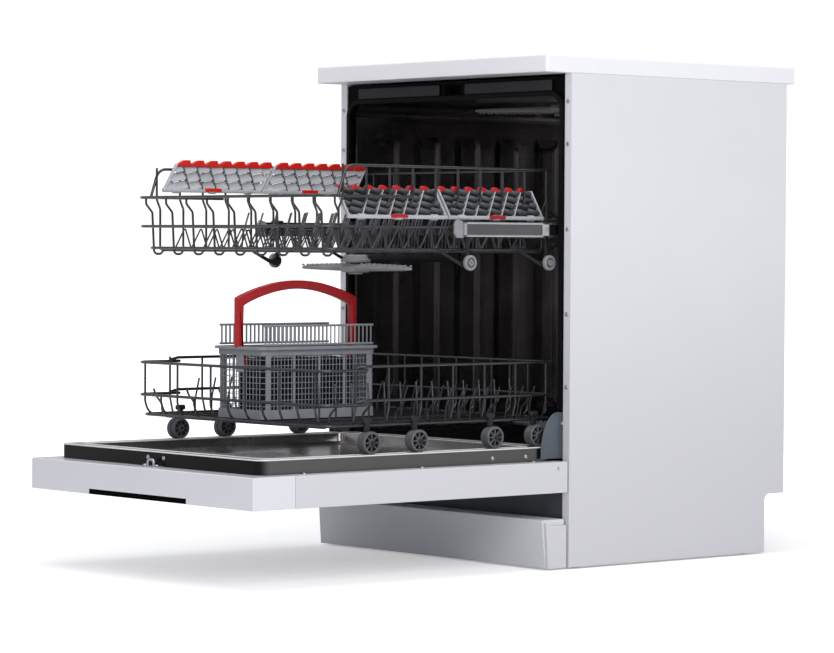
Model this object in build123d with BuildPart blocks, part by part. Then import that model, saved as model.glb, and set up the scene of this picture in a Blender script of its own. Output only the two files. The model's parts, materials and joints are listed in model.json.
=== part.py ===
from build123d import *
import os

# Freestanding dishwasher standing open: door down level, both racks drawn out over it.
# X is the width, Y the depth with the front at -Y, Z is up from the floor. Millimetres.

os.makedirs("parts", exist_ok=True)

# Driving dimensions of the machine
WIDTH = 598.0
HEIGHT = 845.0
TOP_T = 29.0
TOP_FRONT = 56.0
TOP_DEPTH = 590.0
BODY_D = 512.0
DOOR_REACH = 656.0
REAR = TOP_DEPTH - TOP_FRONT
FY = (DOOR_REACH - REAR) / 2
SHEET = 1.2
FLANGE = 16.0
NOTCH_D = 48.0
NOTCH_H = 104.0
CLEAR = 0.3

# Water connections in the back panel
INLET_X, INLET_Z = 210.0, 124.0

# Tub, door and hinge
TUB_X = 270.0
TUB_TOP = 783.0
TUB_BACK = 503.0
LEDGE_Z = 201.7
DOOR_BOT = 127.0
DOOR_TOP = 178.0
HINGE_Y = 8.0
HINGE_Z = 163.0
FASCIA_L = 83.0

# Racks
LOW_Y0, LOW_Y1, LOW_Z, LOW_TOP = -472.0, 16.0, 247.0, 340.0
UP_Y0, UP_Y1, UP_Z, UP_TOP = -470.0, 16.0, 520.0, 657.0
RACK_X = 249.0
WIRE_R = 2.4
RAIL_R = 3.0
WELD = 0.15
WHEEL_R = 18.0
WHEEL_Y = (-390.0, -291.0, -129.0, -34.0)
RAIL_Z = 558.0
ARM_Y = 255.0
UP_ARM_Y = -211.0


def slab(x0, x1, y0, y1, z0, z1, mode=Mode.ADD):
    """Adds a box between two corners; y counts from the cabinet's front edge."""
    with Locations(((x0 + x1) / 2, FY + (y0 + y1) / 2, (z0 + z1) / 2)):
        return Box(abs(x1 - x0), abs(y1 - y0), abs(z1 - z0), mode=mode)


def rod(axis, x, y, z, length, radius, mode=Mode.ADD):
    """Adds a round bar centred on a point, along X, Y or Z."""
    turn = {"x": (0, 90, 0), "y": (90, 0, 0), "z": (0, 0, 0)}[axis]
    with Locations(Location((x, FY + y, z), turn)):
        return Cylinder(radius, length, mode=mode)


def rods(axis, places, length, radius):
    """Adds equal round bars at several points in one step."""
    turn = {"x": (0, 90, 0), "y": (90, 0, 0), "z": (0, 0, 0)}[axis]
    with Locations([Location((x, FY + y, z), turn) for x, y, z in places]):
        Cylinder(radius, length)


def steps(first, last, count):
    """Gives evenly spaced values from first to last."""
    return [first + (last - first) * i / (count - 1) for i in range(count)]


def xz(y):
    """Upright sketch plane facing the front, at a depth from the cabinet's front edge."""
    return Plane.XZ.offset(-(FY + y))


def save(builder, label):
    """Names a finished sub-part and writes its file."""
    builder.part.label = label
    export_step(builder.part, f"parts/{label}.step")


half = WIDTH / 2
UNDER = HEIGHT - TOP_T

# Worktop
with BuildPart() as worktop:
    slab(-half, half, -TOP_FRONT, REAR, UNDER, HEIGHT)
    fillet(worktop.edges().filter_by(Axis.Z), 5)
    fillet(worktop.faces().sort_by(Axis.Z)[-1].edges(), 3)
    fillet(worktop.faces().sort_by(Axis.Z)[0].edges(), 2)
save(worktop, "worktop")

# Side panels, folded at the front, top and rear, cut away at the rear foot
for side, label in ((1, "panel_right"), (-1, "panel_left")):
    with BuildPart() as panel:
        with BuildSketch(Plane.YZ.offset(side * (half - SHEET / 2))) as outline:
            with BuildLine():
                Polyline(
                    (FY, 3), (FY + BODY_D - NOTCH_D, 3),
                    (FY + BODY_D - NOTCH_D, NOTCH_H), (FY + BODY_D, NOTCH_H),
                    (FY + BODY_D, UNDER), (FY, UNDER), close=True)
            make_face()
            fillet(outline.vertices().filter_by(
                lambda v: abs(v.Y - NOTCH_H) < 1 or abs(v.Z - NOTCH_H) < 1).sort_by(Axis.Y)[:1], 12)
        extrude(amount=SHEET / 2, both=True)
        inner = half - SHEET
        slab(side * (half - FLANGE), side * inner, 0, SHEET, 3, UNDER)
        slab(side * (half - FLANGE), side * (half - FLANGE + SHEET), 0, 12, 270, UNDER)
        slab(side * (half - 14), side * inner, 0, BODY_D, UNDER - SHEET, UNDER)
        slab(side * (half - 14), side * inner, BODY_D - SHEET, BODY_D, NOTCH_H, UNDER)
        with Locations([Location((side * (half - FLANGE / 2), FY, z), (90, 0, 0))
                        for z in (300, 420, 560, 700, 770)]):
            Cylinder(1.6, 6, mode=Mode.SUBTRACT)
    save(panel, label)

# Back panel with two pressed ribs and the opening for the water inlet
with BuildPart() as back_panel:
    slab(-half + 6, half - 6, BODY_D - 2 * SHEET, BODY_D - SHEET, NOTCH_H + 2, UNDER - 4)
    for x in (-150, 150):
        slab(x - 20, x + 20, BODY_D - 2 * SHEET, BODY_D + 2, 260, 760)
        slab(x - 18.8, x + 18.8, BODY_D - 2 * SHEET - 1, BODY_D + 0.8, 261.2, 758.8, Mode.SUBTRACT)
    slab(INLET_X - 84, INLET_X + 30, BODY_D - 6, BODY_D, 90, INLET_Z + 24, Mode.SUBTRACT)
save(back_panel, "back_panel")

# Base tray that carries the pumps, with its front wall and the holes for the feet
FEET = [(x, y) for x in (-262, 262) for y in (34, 430)]
with BuildPart() as base_pan:
    slab(-half + 4, half - 4, 4, BODY_D - NOTCH_D - 3, 14, 78)
    slab(-half + 7, half - 7, 7, BODY_D - NOTCH_D - 6, 17, 79, Mode.SUBTRACT)
    slab(-half + FLANGE + 2.2, half - FLANGE - 2.2, 4, 7, 77, 146)
    for x, y in FEET:
        slab(x - 15, x + 15, y - 15, y + 15, 16, 50)
    for x, y in FEET:
        rod("z", x, y, 32, 60, 5.3, Mode.SUBTRACT)
    for x in (-258, -90, 90, 258):
        slab(x - 2, x + 2, 60, 400, 16, 30)
save(base_pan, "base_pan")

# Four levelling feet
with BuildPart() as feet:
    rods("z", [(x, y, 4) for x, y in FEET], 8, 19)
    rods("z", [(x, y, 27) for x, y in FEET], 38, 5)
    rods("z", [(x, y, 10) for x, y in FEET], 5, 8)
save(feet, "feet")

# Plinth, a folded box standing in front of the base
with BuildPart() as plinth:
    slab(-half + 2, half - 2, -52, 0, 3, 83)
    slab(-half + 3.6, half - 3.6, -50.4, 1, 0, 81.4, Mode.SUBTRACT)
    fillet(plinth.edges().filter_by(Axis.Z).filter_by(lambda e: e.center().Y < FY - 51.5), 3)
    for x in (-180, 180):
        slab(x - 30, x + 30, -51, -47, 60, 81.6)
save(plinth, "plinth")

# Tub: bent sheet for sides and ceiling, pressed back, moulded floor with ledges and sump
with BuildPart() as tub_wrapper:
    with BuildSketch(xz(10)):
        with Locations((0, (150 + TUB_TOP) / 2)):
            RectangleRounded(2 * TUB_X + 2 * SHEET, TUB_TOP - 150 + 2 * SHEET, 26.2)
            RectangleRounded(2 * TUB_X, TUB_TOP - 150, 25, mode=Mode.SUBTRACT)
    extrude(amount=-(TUB_BACK - 10))
    slab(-280, 280, 0, 520, 100, 204, Mode.SUBTRACT)
    slab(-6, 6, ARM_Y - 6, ARM_Y + 6, TUB_TOP - 2, TUB_TOP + 4, Mode.SUBTRACT)
save(tub_wrapper, "tub_wrapper")

with BuildPart() as tub_back:
    slab(-TUB_X - SHEET, TUB_X + SHEET, TUB_BACK, TUB_BACK + SHEET, 204, TUB_TOP + SHEET)
    for x in (-180, -108, -36, 36, 108, 180):
        slab(x - 9, x + 9, TUB_BACK - 2.5, TUB_BACK + SHEET, 250, 700)
    fillet(tub_back.edges().filter_by(Axis.Z).filter_by(
        lambda e: e.center().Y < FY + TUB_BACK - 2), 2)
save(tub_back, "tub_back")

FILTER_Y = 120.0
SUMP = (-80, 80, 70, 335)
with BuildPart() as tub_floor:
    slab(-TUB_X - SHEET, TUB_X + SHEET, 10.5, TUB_BACK + SHEET, 150, LEDGE_Z)
    slab(-244, 244, 16, TUB_BACK - 22, 166, 210, Mode.SUBTRACT)
    slab(-268, 268, 14, TUB_BACK - 4, 140, 158, Mode.SUBTRACT)
    slab(SUMP[0], SUMP[1], SUMP[2], SUMP[3], 100, 168)
    slab(SUMP[0] + 4, SUMP[1] - 4, SUMP[2] + 4, SUMP[3] - 4, 104, 158, Mode.SUBTRACT)
    rod("z", 0, ARM_Y, 150, 92, 14)
    rod("z", 0, ARM_Y, 194, 20, 9)
    rod("z", 0, ARM_Y, 203, 30, 6.5)
    rod("z", 0, FILTER_Y + 26, 106, 10, 44)
    rod("z", 0, FILTER_Y + 26, 108, 10, 40, Mode.SUBTRACT)
    rod("z", 0, FILTER_Y + 26, 160, 30, 38.3, Mode.SUBTRACT)
    rod("z", -160, 120, 164, 6, 30)
save(tub_floor, "tub_floor")

# Front frame around the opening, with the header's two strips and the latch slot
with BuildPart() as front_frame:
    with BuildSketch(xz(2)):
        with Locations((0, (184 + 812) / 2)):
            Rectangle(2 * (half - FLANGE - 0.4), 812 - 184)
        with Locations((0, (LEDGE_Z - 4 + TUB_TOP) / 2)):
            RectangleRounded(2 * TUB_X, TUB_TOP - LEDGE_Z + 4, 24, mode=Mode.SUBTRACT)
    extrude(amount=-8)
    for x0, x1 in ((-250, -34), (34, 250)):
        slab(x0, x1, 0.5, 3, 789, 806)
    slab(-22, 22, 1, 12, 788, 806, Mode.SUBTRACT)
    slab(-TUB_X, TUB_X, 1, 12, 184, LEDGE_Z + 25, Mode.SUBTRACT)
    slab(-TUB_X - 1, TUB_X + 1, 4, 10, 184, LEDGE_Z - 1)
save(front_frame, "front_frame")

# Rubber seal on the frame's sides and top, and the lip along the sill
with BuildPart() as door_seal:
    with BuildSketch(xz(-3.5)):
        with Locations((0, 492)):
            RectangleRounded(2 * 280, 2 * 295, 30)
            RectangleRounded(2 * 273, 2 * 288, 24, mode=Mode.SUBTRACT)
    extrude(amount=-5.4)
    slab(-300, 300, -10, 20, 150, 262, Mode.SUBTRACT)
    slab(-300, 300, -3.5 - 1, 0.4, 787.2, 800, Mode.SUBTRACT)
save(door_seal, "door_seal")

with BuildPart() as lower_seal:
    slab(-268, 268, -1, 3.7, 186, 195)
    fillet(lower_seal.edges().filter_by(Axis.X).filter_by(lambda e: e.center().Y < FY), 2)
save(lower_seal, "lower_seal")

# Hinge mounts with the pivot pins, and the quarter-round covers beside the door
with BuildPart() as hinge_mounts:
    for s in (-1, 1):
        slab(s * 281.2, s * 283.4, 4.6, 60, 86, 182)
        slab(s * 281.2, s * 296, 40, 60, 86, 90)
        rod("x", s * 278.2, HINGE_Y, HINGE_Z, 10, 4)
save(hinge_mounts, "hinge_mounts")

with BuildPart() as hinge_covers:
    for s in (-1, 1):
        with BuildSketch(Plane.YZ.offset(s * 276.4)):
            with BuildLine():
                Line((FY + 1.6, 182), (FY + 1.6, 258))
                Line((FY + 1.6, 258), (FY - 4, 258))
                ThreePointArc((FY - 4, 258), (FY - 22, 226), (FY - 27, 190))
                Line((FY - 27, 190), (FY - 27, 182))
                Line((FY - 27, 182), (FY + 1.6, 182))
            make_face()
        extrude(amount=1, both=True)
        slab(s * 275.4, s * 282, 0.4, 1.6, 182, 258)
save(hinge_covers, "hinge_covers")

# Door latch in the header slot
with BuildPart() as latch_unit:
    slab(-21.5, 21.5, 2, 44, 788.5, 805.5)
    slab(-9, 9, 1, 30, 791, 803, Mode.SUBTRACT)
    rod("x", 0, 9, 800, 20, 1.8)
save(latch_unit, "latch_unit")

# Telescopic rails: outer channels on the tub walls and the middle members
with BuildPart() as rails_fixed:
    for s in (-1, 1):
        slab(s * 266.2, s * 269.9, 13, 480, RAIL_Z - 13, RAIL_Z + 13)
        slab(s * 266.1, s * 268.6, 12, 481, RAIL_Z - 9, RAIL_Z + 9, Mode.SUBTRACT)
save(rails_fixed, "rails_fixed")

with BuildPart() as rails_middle:
    for s in (-1, 1):
        slab(s * 261.4, s * 265.8, -202, 228, RAIL_Z - 12, RAIL_Z + 12)
        slab(s * 261.3, s * 263.6, -203, 229, RAIL_Z - 9, RAIL_Z + 9, Mode.SUBTRACT)
        for y in (-190, -10):
            rod("x", s * 264.2, y, RAIL_Z, 4, 4)
save(rails_middle, "rails_middle")

# Water feed for the ceiling arm
with BuildPart() as spray_feed:
    rod("z", 0, ARM_Y, TUB_TOP + 8, 24, 5.5)
    rod("z", 0, ARM_Y, TUB_TOP - 11, 18, 5)
    rod("z", 0, ARM_Y, TUB_TOP - 21.3, 3, 12)
    slab(-12, 12, ARM_Y, TUB_BACK + 2, TUB_TOP + 6, TUB_TOP + 20)
save(spray_feed, "spray_feed")


def spray_arm(label, y, z, reach, turn, hole, jets):
    """Makes a two-armed spray arm around its bearing hole."""
    with BuildPart() as arm:
        with Locations(Location((0, FY + y, z), (0, 0, turn))):
            Box(2 * reach, 30, 10)
        fillet(arm.edges().filter_by(Axis.Z), 12)
        fillet(arm.edges().filter_by(lambda e: e.length > 20), 3)
        rod("z", 0, y, z, 14, 24)
        with Locations([Location((0, FY + y, z), (0, 0, turn)) * Location((d, e, 0))
                        for d, e in jets]):
            Cylinder(2.2, 12, mode=Mode.SUBTRACT)
        rod("z", 0, y, z, 20, hole, Mode.SUBTRACT)
    save(arm, label)


spray_arm("arm_top", ARM_Y, TUB_TOP - 11.5, 165, 25, 5.06, [(-140, 5), (-90, -5), (60, 5), (120, -5)])
spray_arm("arm_lower", ARM_Y, 212, 215, -20, 6.56,
          [(-195, 6), (-150, -5), (-95, 5), (80, -5), (130, 5), (190, -6)])
spray_arm("arm_upper", UP_ARM_Y, 493, 205, -9, 6.06,
          [(-185, 6), (-130, -5), (-80, 5), (75, -5), (120, 5), (180, -6)])

# Filter cup in the sump, with a grip across its mouth
with BuildPart() as filter_cup:
    rod("z", 0, FILTER_Y + 26, 140, 58, 38)
    rod("z", 0, FILTER_Y + 26, 143, 56, 36, Mode.SUBTRACT)
    rod("z", 0, FILTER_Y + 26, 169.8, 3, 46)
    rod("z", 0, FILTER_Y + 26, 169, 10, 35, Mode.SUBTRACT)
    slab(-37, 37, FILTER_Y + 24, FILTER_Y + 28, 150, 176)
save(filter_cup, "filter_cup")

# Salt reservoir cap, turned to undo it
with BuildPart() as salt_cap:
    rod("z", -160, 120, 171.5, 8.4, 27)
    slab(-184, -136, 117, 123, 175, 183)
save(salt_cap, "salt_cap")

# Pumps and water inlet in the base
with BuildPart() as circulation_pump:
    rod("y", 150, 230, 68, 90, 38)
    rod("y", 150, 180, 68, 20, 48)
    slab(84, 130, 172, 188, 62, 86)
    slab(120, 180, 200, 260, 18, 34)
save(circulation_pump, "circulation_pump")

with BuildPart() as drain_pump:
    rod("x", -150, 300, 62, 60, 26)
    rod("x", -108, 300, 62, 30, 30)
    slab(-180, -130, 280, 320, 18, 40)
save(drain_pump, "drain_pump")

with BuildPart() as inlet_valve:
    slab(INLET_X - 20, INLET_X + 20, 474, BODY_D - 4, INLET_Z - 22, INLET_Z + 22)
    rod("y", INLET_X, BODY_D + 4, INLET_Z, 26, 13.1)
    rod("y", INLET_X, BODY_D + 8, INLET_Z, 30, 7, Mode.SUBTRACT)
    rod("y", INLET_X - 60, BODY_D + 3, INLET_Z, 24, 9)
    rod("y", INLET_X - 60, BODY_D + 6, INLET_Z, 24, 6.5, Mode.SUBTRACT)
    slab(INLET_X - 92, INLET_X + 36, BODY_D - 4.5, BODY_D - 2 * SHEET - 0.05, 96, INLET_Z + 30)
    slab(INLET_X - 69, INLET_X - 10, 488, 505, INLET_Z - 9, INLET_Z + 9)
save(inlet_valve, "inlet_valve")

# Door balance springs, one beside each side of the base, hung on hooks
with BuildPart() as balance_springs:
    for s in (-1, 1):
        with BuildLine() as coil:
            Helix(pitch=5.2, height=130, radius=8, center=(s * 276, FY + 90, 112), direction=(0, 1, 0))
        with BuildSketch(Plane(origin=coil.line @ 0, z_dir=coil.line % 0)):
            Circle(1.5)
        sweep(is_frenet=True)
save(balance_springs, "balance_springs")

# Screws of the cabinet: front flanges, hinge covers and back panel
with BuildPart() as cabinet_screws:
    for s in (-1, 1):
        with Locations([Location((s * (half - FLANGE / 2), FY - 1.4, z), (90, 0, 0))
                        for z in (300, 420, 560, 700, 770)]):
            Cylinder(3.4, 2.2)
        with Locations([Location((s * (half - FLANGE / 2), FY + 3, z), (90, 0, 0))
                        for z in (300, 420, 560, 700, 770)]):
            Cylinder(1.5, 6.6)
        rod("y", s * 279.4, -0.6, 240, 2, 1.9)
        rods("y", [(s * 250, BODY_D + 0.35, z) for z in (160, 400, 640, 800)], 3, 4)
save(cabinet_screws, "cabinet_screws")

# Door: outer panel, fascia with the grip recess, and its black insert
door_x = half - 1
door_end = -DOOR_REACH
seam = door_end + FASCIA_L
with BuildPart() as door_panel:
    slab(-door_x, door_x, seam + 0.6, -3, DOOR_BOT, DOOR_TOP)
    slab(-door_x + SHEET, door_x - SHEET, seam, -4.2, DOOR_BOT + SHEET, DOOR_TOP + 1, Mode.SUBTRACT)
    for s in (-1, 1):
        slab(s * 266, s * (door_x - 0.6), seam + 0.6, -3, DOOR_TOP - SHEET, DOOR_TOP)
        slab(s * 274, s * 281, -6, -2, 152, DOOR_TOP + 1, Mode.SUBTRACT)
    fillet(door_panel.edges().filter_by(Axis.Y).filter_by(
        lambda e: e.center().Z < DOOR_BOT + 0.1 and abs(e.center().X) > door_x - 0.1), 0.9)
save(door_panel, "door_panel")

GRIP = (-134, 129)
with BuildPart() as fascia:
    slab(-door_x, door_x, door_end, seam, DOOR_BOT, DOOR_TOP)
    fillet(fascia.edges().filter_by(Axis.X).filter_by(lambda e: e.center().Y < FY + door_end + 1), 2.5)
    slab(-door_x + 3, door_x - 3, door_end + 3, seam + 1, DOOR_BOT + 3, DOOR_TOP - 3, Mode.SUBTRACT)
    slab(GRIP[0], GRIP[1], door_end - 1, door_end + 36, DOOR_BOT - 1, DOOR_BOT + 9, Mode.SUBTRACT)
    slab(-240, -150, door_end + 26, door_end + 62, DOOR_BOT - 1, DOOR_BOT + 4, Mode.SUBTRACT)
    for x in (-210, 160, 196, 232):
        rod("z", x, door_end + 44, DOOR_BOT + 1, 8, 9.3, Mode.SUBTRACT)
save(fascia, "fascia")

with BuildPart() as grip_insert:
    slab(GRIP[0] + 0.2, GRIP[1] - 0.2, door_end + 3.2, door_end + 35.8, DOOR_BOT + 0.5, DOOR_BOT + 27)
    slab(GRIP[0] + 2.2, GRIP[1] - 2.2, door_end, door_end + 33.8, DOOR_BOT, DOOR_BOT + 9, Mode.SUBTRACT)
    slab(GRIP[0] + 2.2, GRIP[1] - 2.2, door_end + 5, door_end + 33.8, DOOR_BOT, DOOR_BOT + 25, Mode.SUBTRACT)
save(grip_insert, "grip_insert")

# Control window and three push buttons on the door's outer face
with BuildPart() as display_window:
    slab(-239.8, -150.2, door_end + 26.2, door_end + 61.8, DOOR_BOT + 0.4, DOOR_BOT + 2.6)
save(display_window, "display_window")

for label, x in (("button_power", 160), ("button_program", 196), ("button_start", 232)):
    with BuildPart() as button:
        rod("z", x, door_end + 44, DOOR_BOT + 2.5, 9, 9)
        rod("z", x, door_end + 44, DOOR_BOT + 8, 2, 11)
        fillet(button.edges().sort_by(Axis.Z)[0], 1)
    save(button, label)

with BuildPart() as control_board:
    slab(-244, 250, door_end + 40, door_end + 78, DOOR_BOT + 18, DOOR_BOT + 20)
    slab(GRIP[0] - 6, GRIP[1] + 6, door_end + 20, door_end + 66, DOOR_BOT + 10, DOOR_BOT + 30, Mode.SUBTRACT)
    slab(-244, 250, door_end + 68, door_end + 78, DOOR_BOT + 18, DOOR_BOT + 20)
    slab(-236, -154, door_end + 42, door_end + 60, DOOR_BOT + 20, DOOR_BOT + 26)
save(control_board, "control_board")

# Door liner: raised pan with a recess, its rim being the track of the lower rack
RIM_Y0 = -614.0
with BuildPart() as door_liner:
    slab(-272, 272, RIM_Y0, -12, DOOR_TOP + 0.1, LEDGE_Z)
    fillet(door_liner.edges().filter_by(Axis.Z), 22)
    fillet(door_liner.faces().sort_by(Axis.Z)[-1].edges(), 6)
    slab(-246, 246, RIM_Y0 + 27, -38, DOOR_TOP + 5, LEDGE_Z + 1, Mode.SUBTRACT)
    slab(-270, 270, RIM_Y0 + 2, -14, DOOR_TOP - 4, DOOR_TOP + 3.6, Mode.SUBTRACT)
    slab(-260, -249, RIM_Y0 + 12, -24, DOOR_TOP, LEDGE_Z - 1.4, Mode.SUBTRACT)
    slab(249, 260, RIM_Y0 + 12, -24, DOOR_TOP, LEDGE_Z - 1.4, Mode.SUBTRACT)
    slab(-282, 282, door_end + 6, RIM_Y0 + 10, DOOR_TOP + 0.1, DOOR_TOP + 1.3)
    slab(-72, 72, -452, -348, DOOR_TOP, DOOR_TOP + 8, Mode.SUBTRACT)
save(door_liner, "door_liner")

# Detergent dispenser with its cup, the sprung lid and the rinse aid cap
with BuildPart() as dispenser_body:
    slab(-84, 84, -464, -336, DOOR_TOP + 5.1, DOOR_TOP + 9)
    fillet(dispenser_body.edges().filter_by(Axis.Z), 10)
    slab(-71.5, 71.5, -451.5, -348.5, DOOR_TOP - 30, DOOR_TOP + 6)
    slab(-66, 10, -440, -360, DOOR_TOP - 26, DOOR_TOP + 12, Mode.SUBTRACT)
    rod("z", 44, -400, DOOR_TOP + 4, 14, 17, Mode.SUBTRACT)
save(dispenser_body, "dispenser_body")

with BuildPart() as dispenser_lid:
    slab(-65.6, 9.6, -439.6, -362.6, DOOR_TOP + 6, DOOR_TOP + 9.6)
    fillet(dispenser_lid.edges().filter_by(Axis.Z), 6)
    rod("x", -28, -362.6, DOOR_TOP + 8, 60, 2.2)
    slab(-36, -20, -434, -424, DOOR_TOP + 9, DOOR_TOP + 12)
save(dispenser_lid, "dispenser_lid")

with BuildPart() as rinse_cap:
    rod("z", 44, -400, DOOR_TOP + 6, 9, 16.5)
    slab(30, 58, -402.5, -397.5, DOOR_TOP + 10, DOOR_TOP + 14)
save(rinse_cap, "rinse_cap")

with BuildPart() as door_striker:
    slab(-22, 22, RIM_Y0 - 22, RIM_Y0 - 1, DOOR_TOP + 1.4, DOOR_TOP + 4)
    for x in (-8, 8):
        slab(x - 1.5, x + 1.5, RIM_Y0 - 18, RIM_Y0 - 8, DOOR_TOP + 3, DOOR_TOP + 20)
    rod("x", 0, RIM_Y0 - 13, DOOR_TOP + 18, 19, 2)
save(door_striker, "door_striker")

# Hinge arms fixed inside the door, turning on the pins of the hinge mounts
with BuildPart() as hinge_arms:
    for s in (-1, 1):
        slab(s * 275, s * 279, -120, HINGE_Y, 154, 172)
        rod("x", s * 277, HINGE_Y, HINGE_Z, 4, 9)
    for s in (-1, 1):
        rod("x", s * 277, HINGE_Y, HINGE_Z, 8, 4.05, Mode.SUBTRACT)
        slab(s * 275, s * 288, -118, -60, 154, 157)
save(hinge_arms, "hinge_arms")

# Screws of the door: along the liner's rim sides, on its front strip and at the striker
SIDE_SCREWS = (-560, -330, -145, -82, -58)
with BuildPart() as door_screws:
    for s in (-1, 1):
        rods("x", [(s * 273.3, y, DOOR_TOP + 12) for y in SIDE_SCREWS], 2.4, 3.4)
        rods("z", [(s * 278, y, DOOR_TOP + 1.2) for y in (-540, -300, -60)], 2.2, 3)
    rods("z", [(x, RIM_Y0 - 12, DOOR_TOP + 4.85) for x in (-17, 17)], 1.6, 3)
save(door_screws, "door_screws")


# How far the upright wires stand in from a rim's centre, and the floor's ends from it
STAND_IN = 2.6
WALL_IN = STAND_IN + WIRE_R + WELD


def grille_floor(y0, y1, z, cross, along):
    """Adds a flat wire floor: wires across and wires along, welded where they meet."""
    rods("x", [(0, y, z) for y in steps(y0 + 12, y1 - 12, cross)], 2 * (RACK_X - WALL_IN), WIRE_R)
    rods("y", [(x, (y0 + y1) / 2, z + 3) for x in steps(-RACK_X + 12, RACK_X - 12, along)],
         y1 - y0 - 2 * WALL_IN, WIRE_R)


FOOT = WIRE_R + RAIL_R + WELD


def grille_wall(fixed, low, high, z0, rails, bars, side):
    """Adds a flat upright wire wall: along Y where side is true, otherwise along X."""
    mid, span = (low + high) / 2, high - low
    z0, top = z0 + FOOT - RAIL_R, max(rails)
    for z in rails:
        if side:
            rod("y", fixed, mid, z, span, RAIL_R)
        else:
            rod("x", mid, fixed, z, span, RAIL_R)
    inner = fixed - STAND_IN * (1 if fixed > mid or (side and fixed > 0) else -1)
    for v in steps(low + 14, high - 14, bars):
        if side:
            rod("z", inner, v, (z0 + top) / 2, top - z0, WIRE_R)
        else:
            rod("z", v, inner, (z0 + top) / 2, top - z0, WIRE_R)


# Lower rack with its wheel brackets
with BuildPart() as lower_rack:
    grille_floor(LOW_Y0, LOW_Y1, LOW_Z, 13, 9)
    for s in (-1, 1):
        grille_wall(s * RACK_X, LOW_Y0 + RAIL_R + WELD, LOW_Y1 - RAIL_R - WELD, LOW_Z,
                    (LOW_Z + FOOT, 288, LOW_TOP), 14, True)
        for y in WHEEL_Y:
            slab(s * 246.6, s * 251.6, y - 7, y + 7, WHEEL_R + LEDGE_Z - 9, LOW_Z + 12)
            rod("x", s * 255.5, y, LEDGE_Z + CLEAR + WHEEL_R, 17, 3)
            rod("x", s * 263.9, y, LEDGE_Z + CLEAR + WHEEL_R, 2.2, 4.6)
    for y in (LOW_Y0, LOW_Y1):
        grille_wall(y, -RACK_X - RAIL_R, RACK_X + RAIL_R, LOW_Z, (LOW_Z + FOOT, 292, LOW_TOP), 13, False)
save(lower_rack, "lower_rack")

for number, y in enumerate(WHEEL_Y, 1):
    with BuildPart() as wheels:
        for s in (-1, 1):
            rod("x", s * 257.5, y, LEDGE_Z + CLEAR + WHEEL_R, 9, WHEEL_R)
        fillet(wheels.edges().filter_by(GeomType.CIRCLE), 1.5)
        for s in (-1, 1):
            rod("x", s * 257.5, y, LEDGE_Z + CLEAR + WHEEL_R, 20, 3.06, Mode.SUBTRACT)
            with Locations([Location((s * 257.5, FY + y, LEDGE_Z + CLEAR + WHEEL_R), (a, 0, 0))
                            * Location((0, 10, 0), (0, 90, 0)) for a in range(0, 360, 60)]):
                Cylinder(3.4, 20, mode=Mode.SUBTRACT)
    save(wheels, f"wheels_{number}")

# Folding tine rows of the lower rack
TINE_Z = LOW_Z + 2 * WIRE_R + CLEAR
for label, x in (("tines_left", -165), ("tines_right", 165)):
    with BuildPart() as tines:
        rod("y", x, -215, TINE_Z, 430, WIRE_R)
        rods("z", [(x, y, TINE_Z + 29) for y in steps(-420, -10, 13)], 58, 2)
    save(tines, label)

# Cutlery basket: meshed walls, partitions, red handle and the two raised lids
BX0, BX1, BY0, BY1, BZ0, BZ1 = -69.0, 53.0, -448.0, -211.0, 253.0, 366.0
with BuildPart() as basket_body:
    slab(BX0, BX1, BY0, BY1, BZ0, BZ1)
    fillet(basket_body.edges().filter_by(Axis.Z), 6)
    slab(BX0 + 2.5, BX1 - 2.5, BY0 + 2.5, BY1 - 2.5, BZ0 + 3, BZ1 + 1, Mode.SUBTRACT)
    with BuildSketch(Plane.YZ):
        with Locations((FY + (BY0 + BY1) / 2, 314)):
            with GridLocations(12.6, 12.6, 17, 7):
                Rectangle(9, 9)
    extrude(amount=100, both=True, mode=Mode.SUBTRACT)
    with BuildSketch(xz(BY1 + 10)):
        with Locations(((BX0 + BX1) / 2, 314)):
            with GridLocations(12.6, 12.6, 8, 7):
                Rectangle(9, 9)
    extrude(amount=260, mode=Mode.SUBTRACT)
    for y in (BY0 + 79, BY1 - 79):
        slab(BX0 + 1, BX1 - 1, y - 1, y + 1, BZ0 + 1, BZ1 - 12)
save(basket_body, "basket_body")

HANDLE_X = -8.0
LEG0, LEG1, LEG_W = FY + BY0 + 2.5, FY + BY1 - 2.5, 11.5
with BuildPart() as basket_handle:
    with BuildSketch(Plane.YZ.offset(HANDLE_X)):
        with BuildLine():
            Polyline((LEG0, BZ1 - 40), (LEG0, 430), (LEG0 - 9, 444))
            ThreePointArc((LEG0 - 9, 444), ((LEG0 + LEG1) / 2, 473), (LEG1 + 9, 444))
            Polyline((LEG1 + 9, 444), (LEG1, 430), (LEG1, BZ1 - 40), (LEG1 - LEG_W, BZ1 - 40), (LEG1 - LEG_W, 433))
            ThreePointArc((LEG1 - LEG_W, 433), ((LEG0 + LEG1) / 2, 461), (LEG0 + LEG_W, 433))
            Polyline((LEG0 + LEG_W, 433), (LEG0 + LEG_W, BZ1 - 40), (LEG0, BZ1 - 40))
        make_face()
    extrude(amount=6, both=True)
    fillet(basket_handle.edges().filter_by(Axis.X), 3)
save(basket_handle, "basket_handle")

for label, x, s in (("lid_left", BX0 + 3, 1), ("lid_right", BX1 - 3, -1)):
    with BuildPart() as lid:
        rod("y", x, (BY0 + BY1) / 2, BZ1 + 3.4, BY1 - BY0 - 8, 2.6)
        slab(x - 1.5, x + 1.5, BY0 + 6, BY1 - 6, BZ1 + 3, BZ1 + 36)
        with BuildSketch(Plane.YZ.offset(x)):
            with Locations((FY + (BY0 + BY1) / 2, BZ1 + 20)):
                with GridLocations(13, 20, 16, 1):
                    Rectangle(8, 22)
        extrude(amount=5, both=True, mode=Mode.SUBTRACT)
    save(lid, label)

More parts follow.
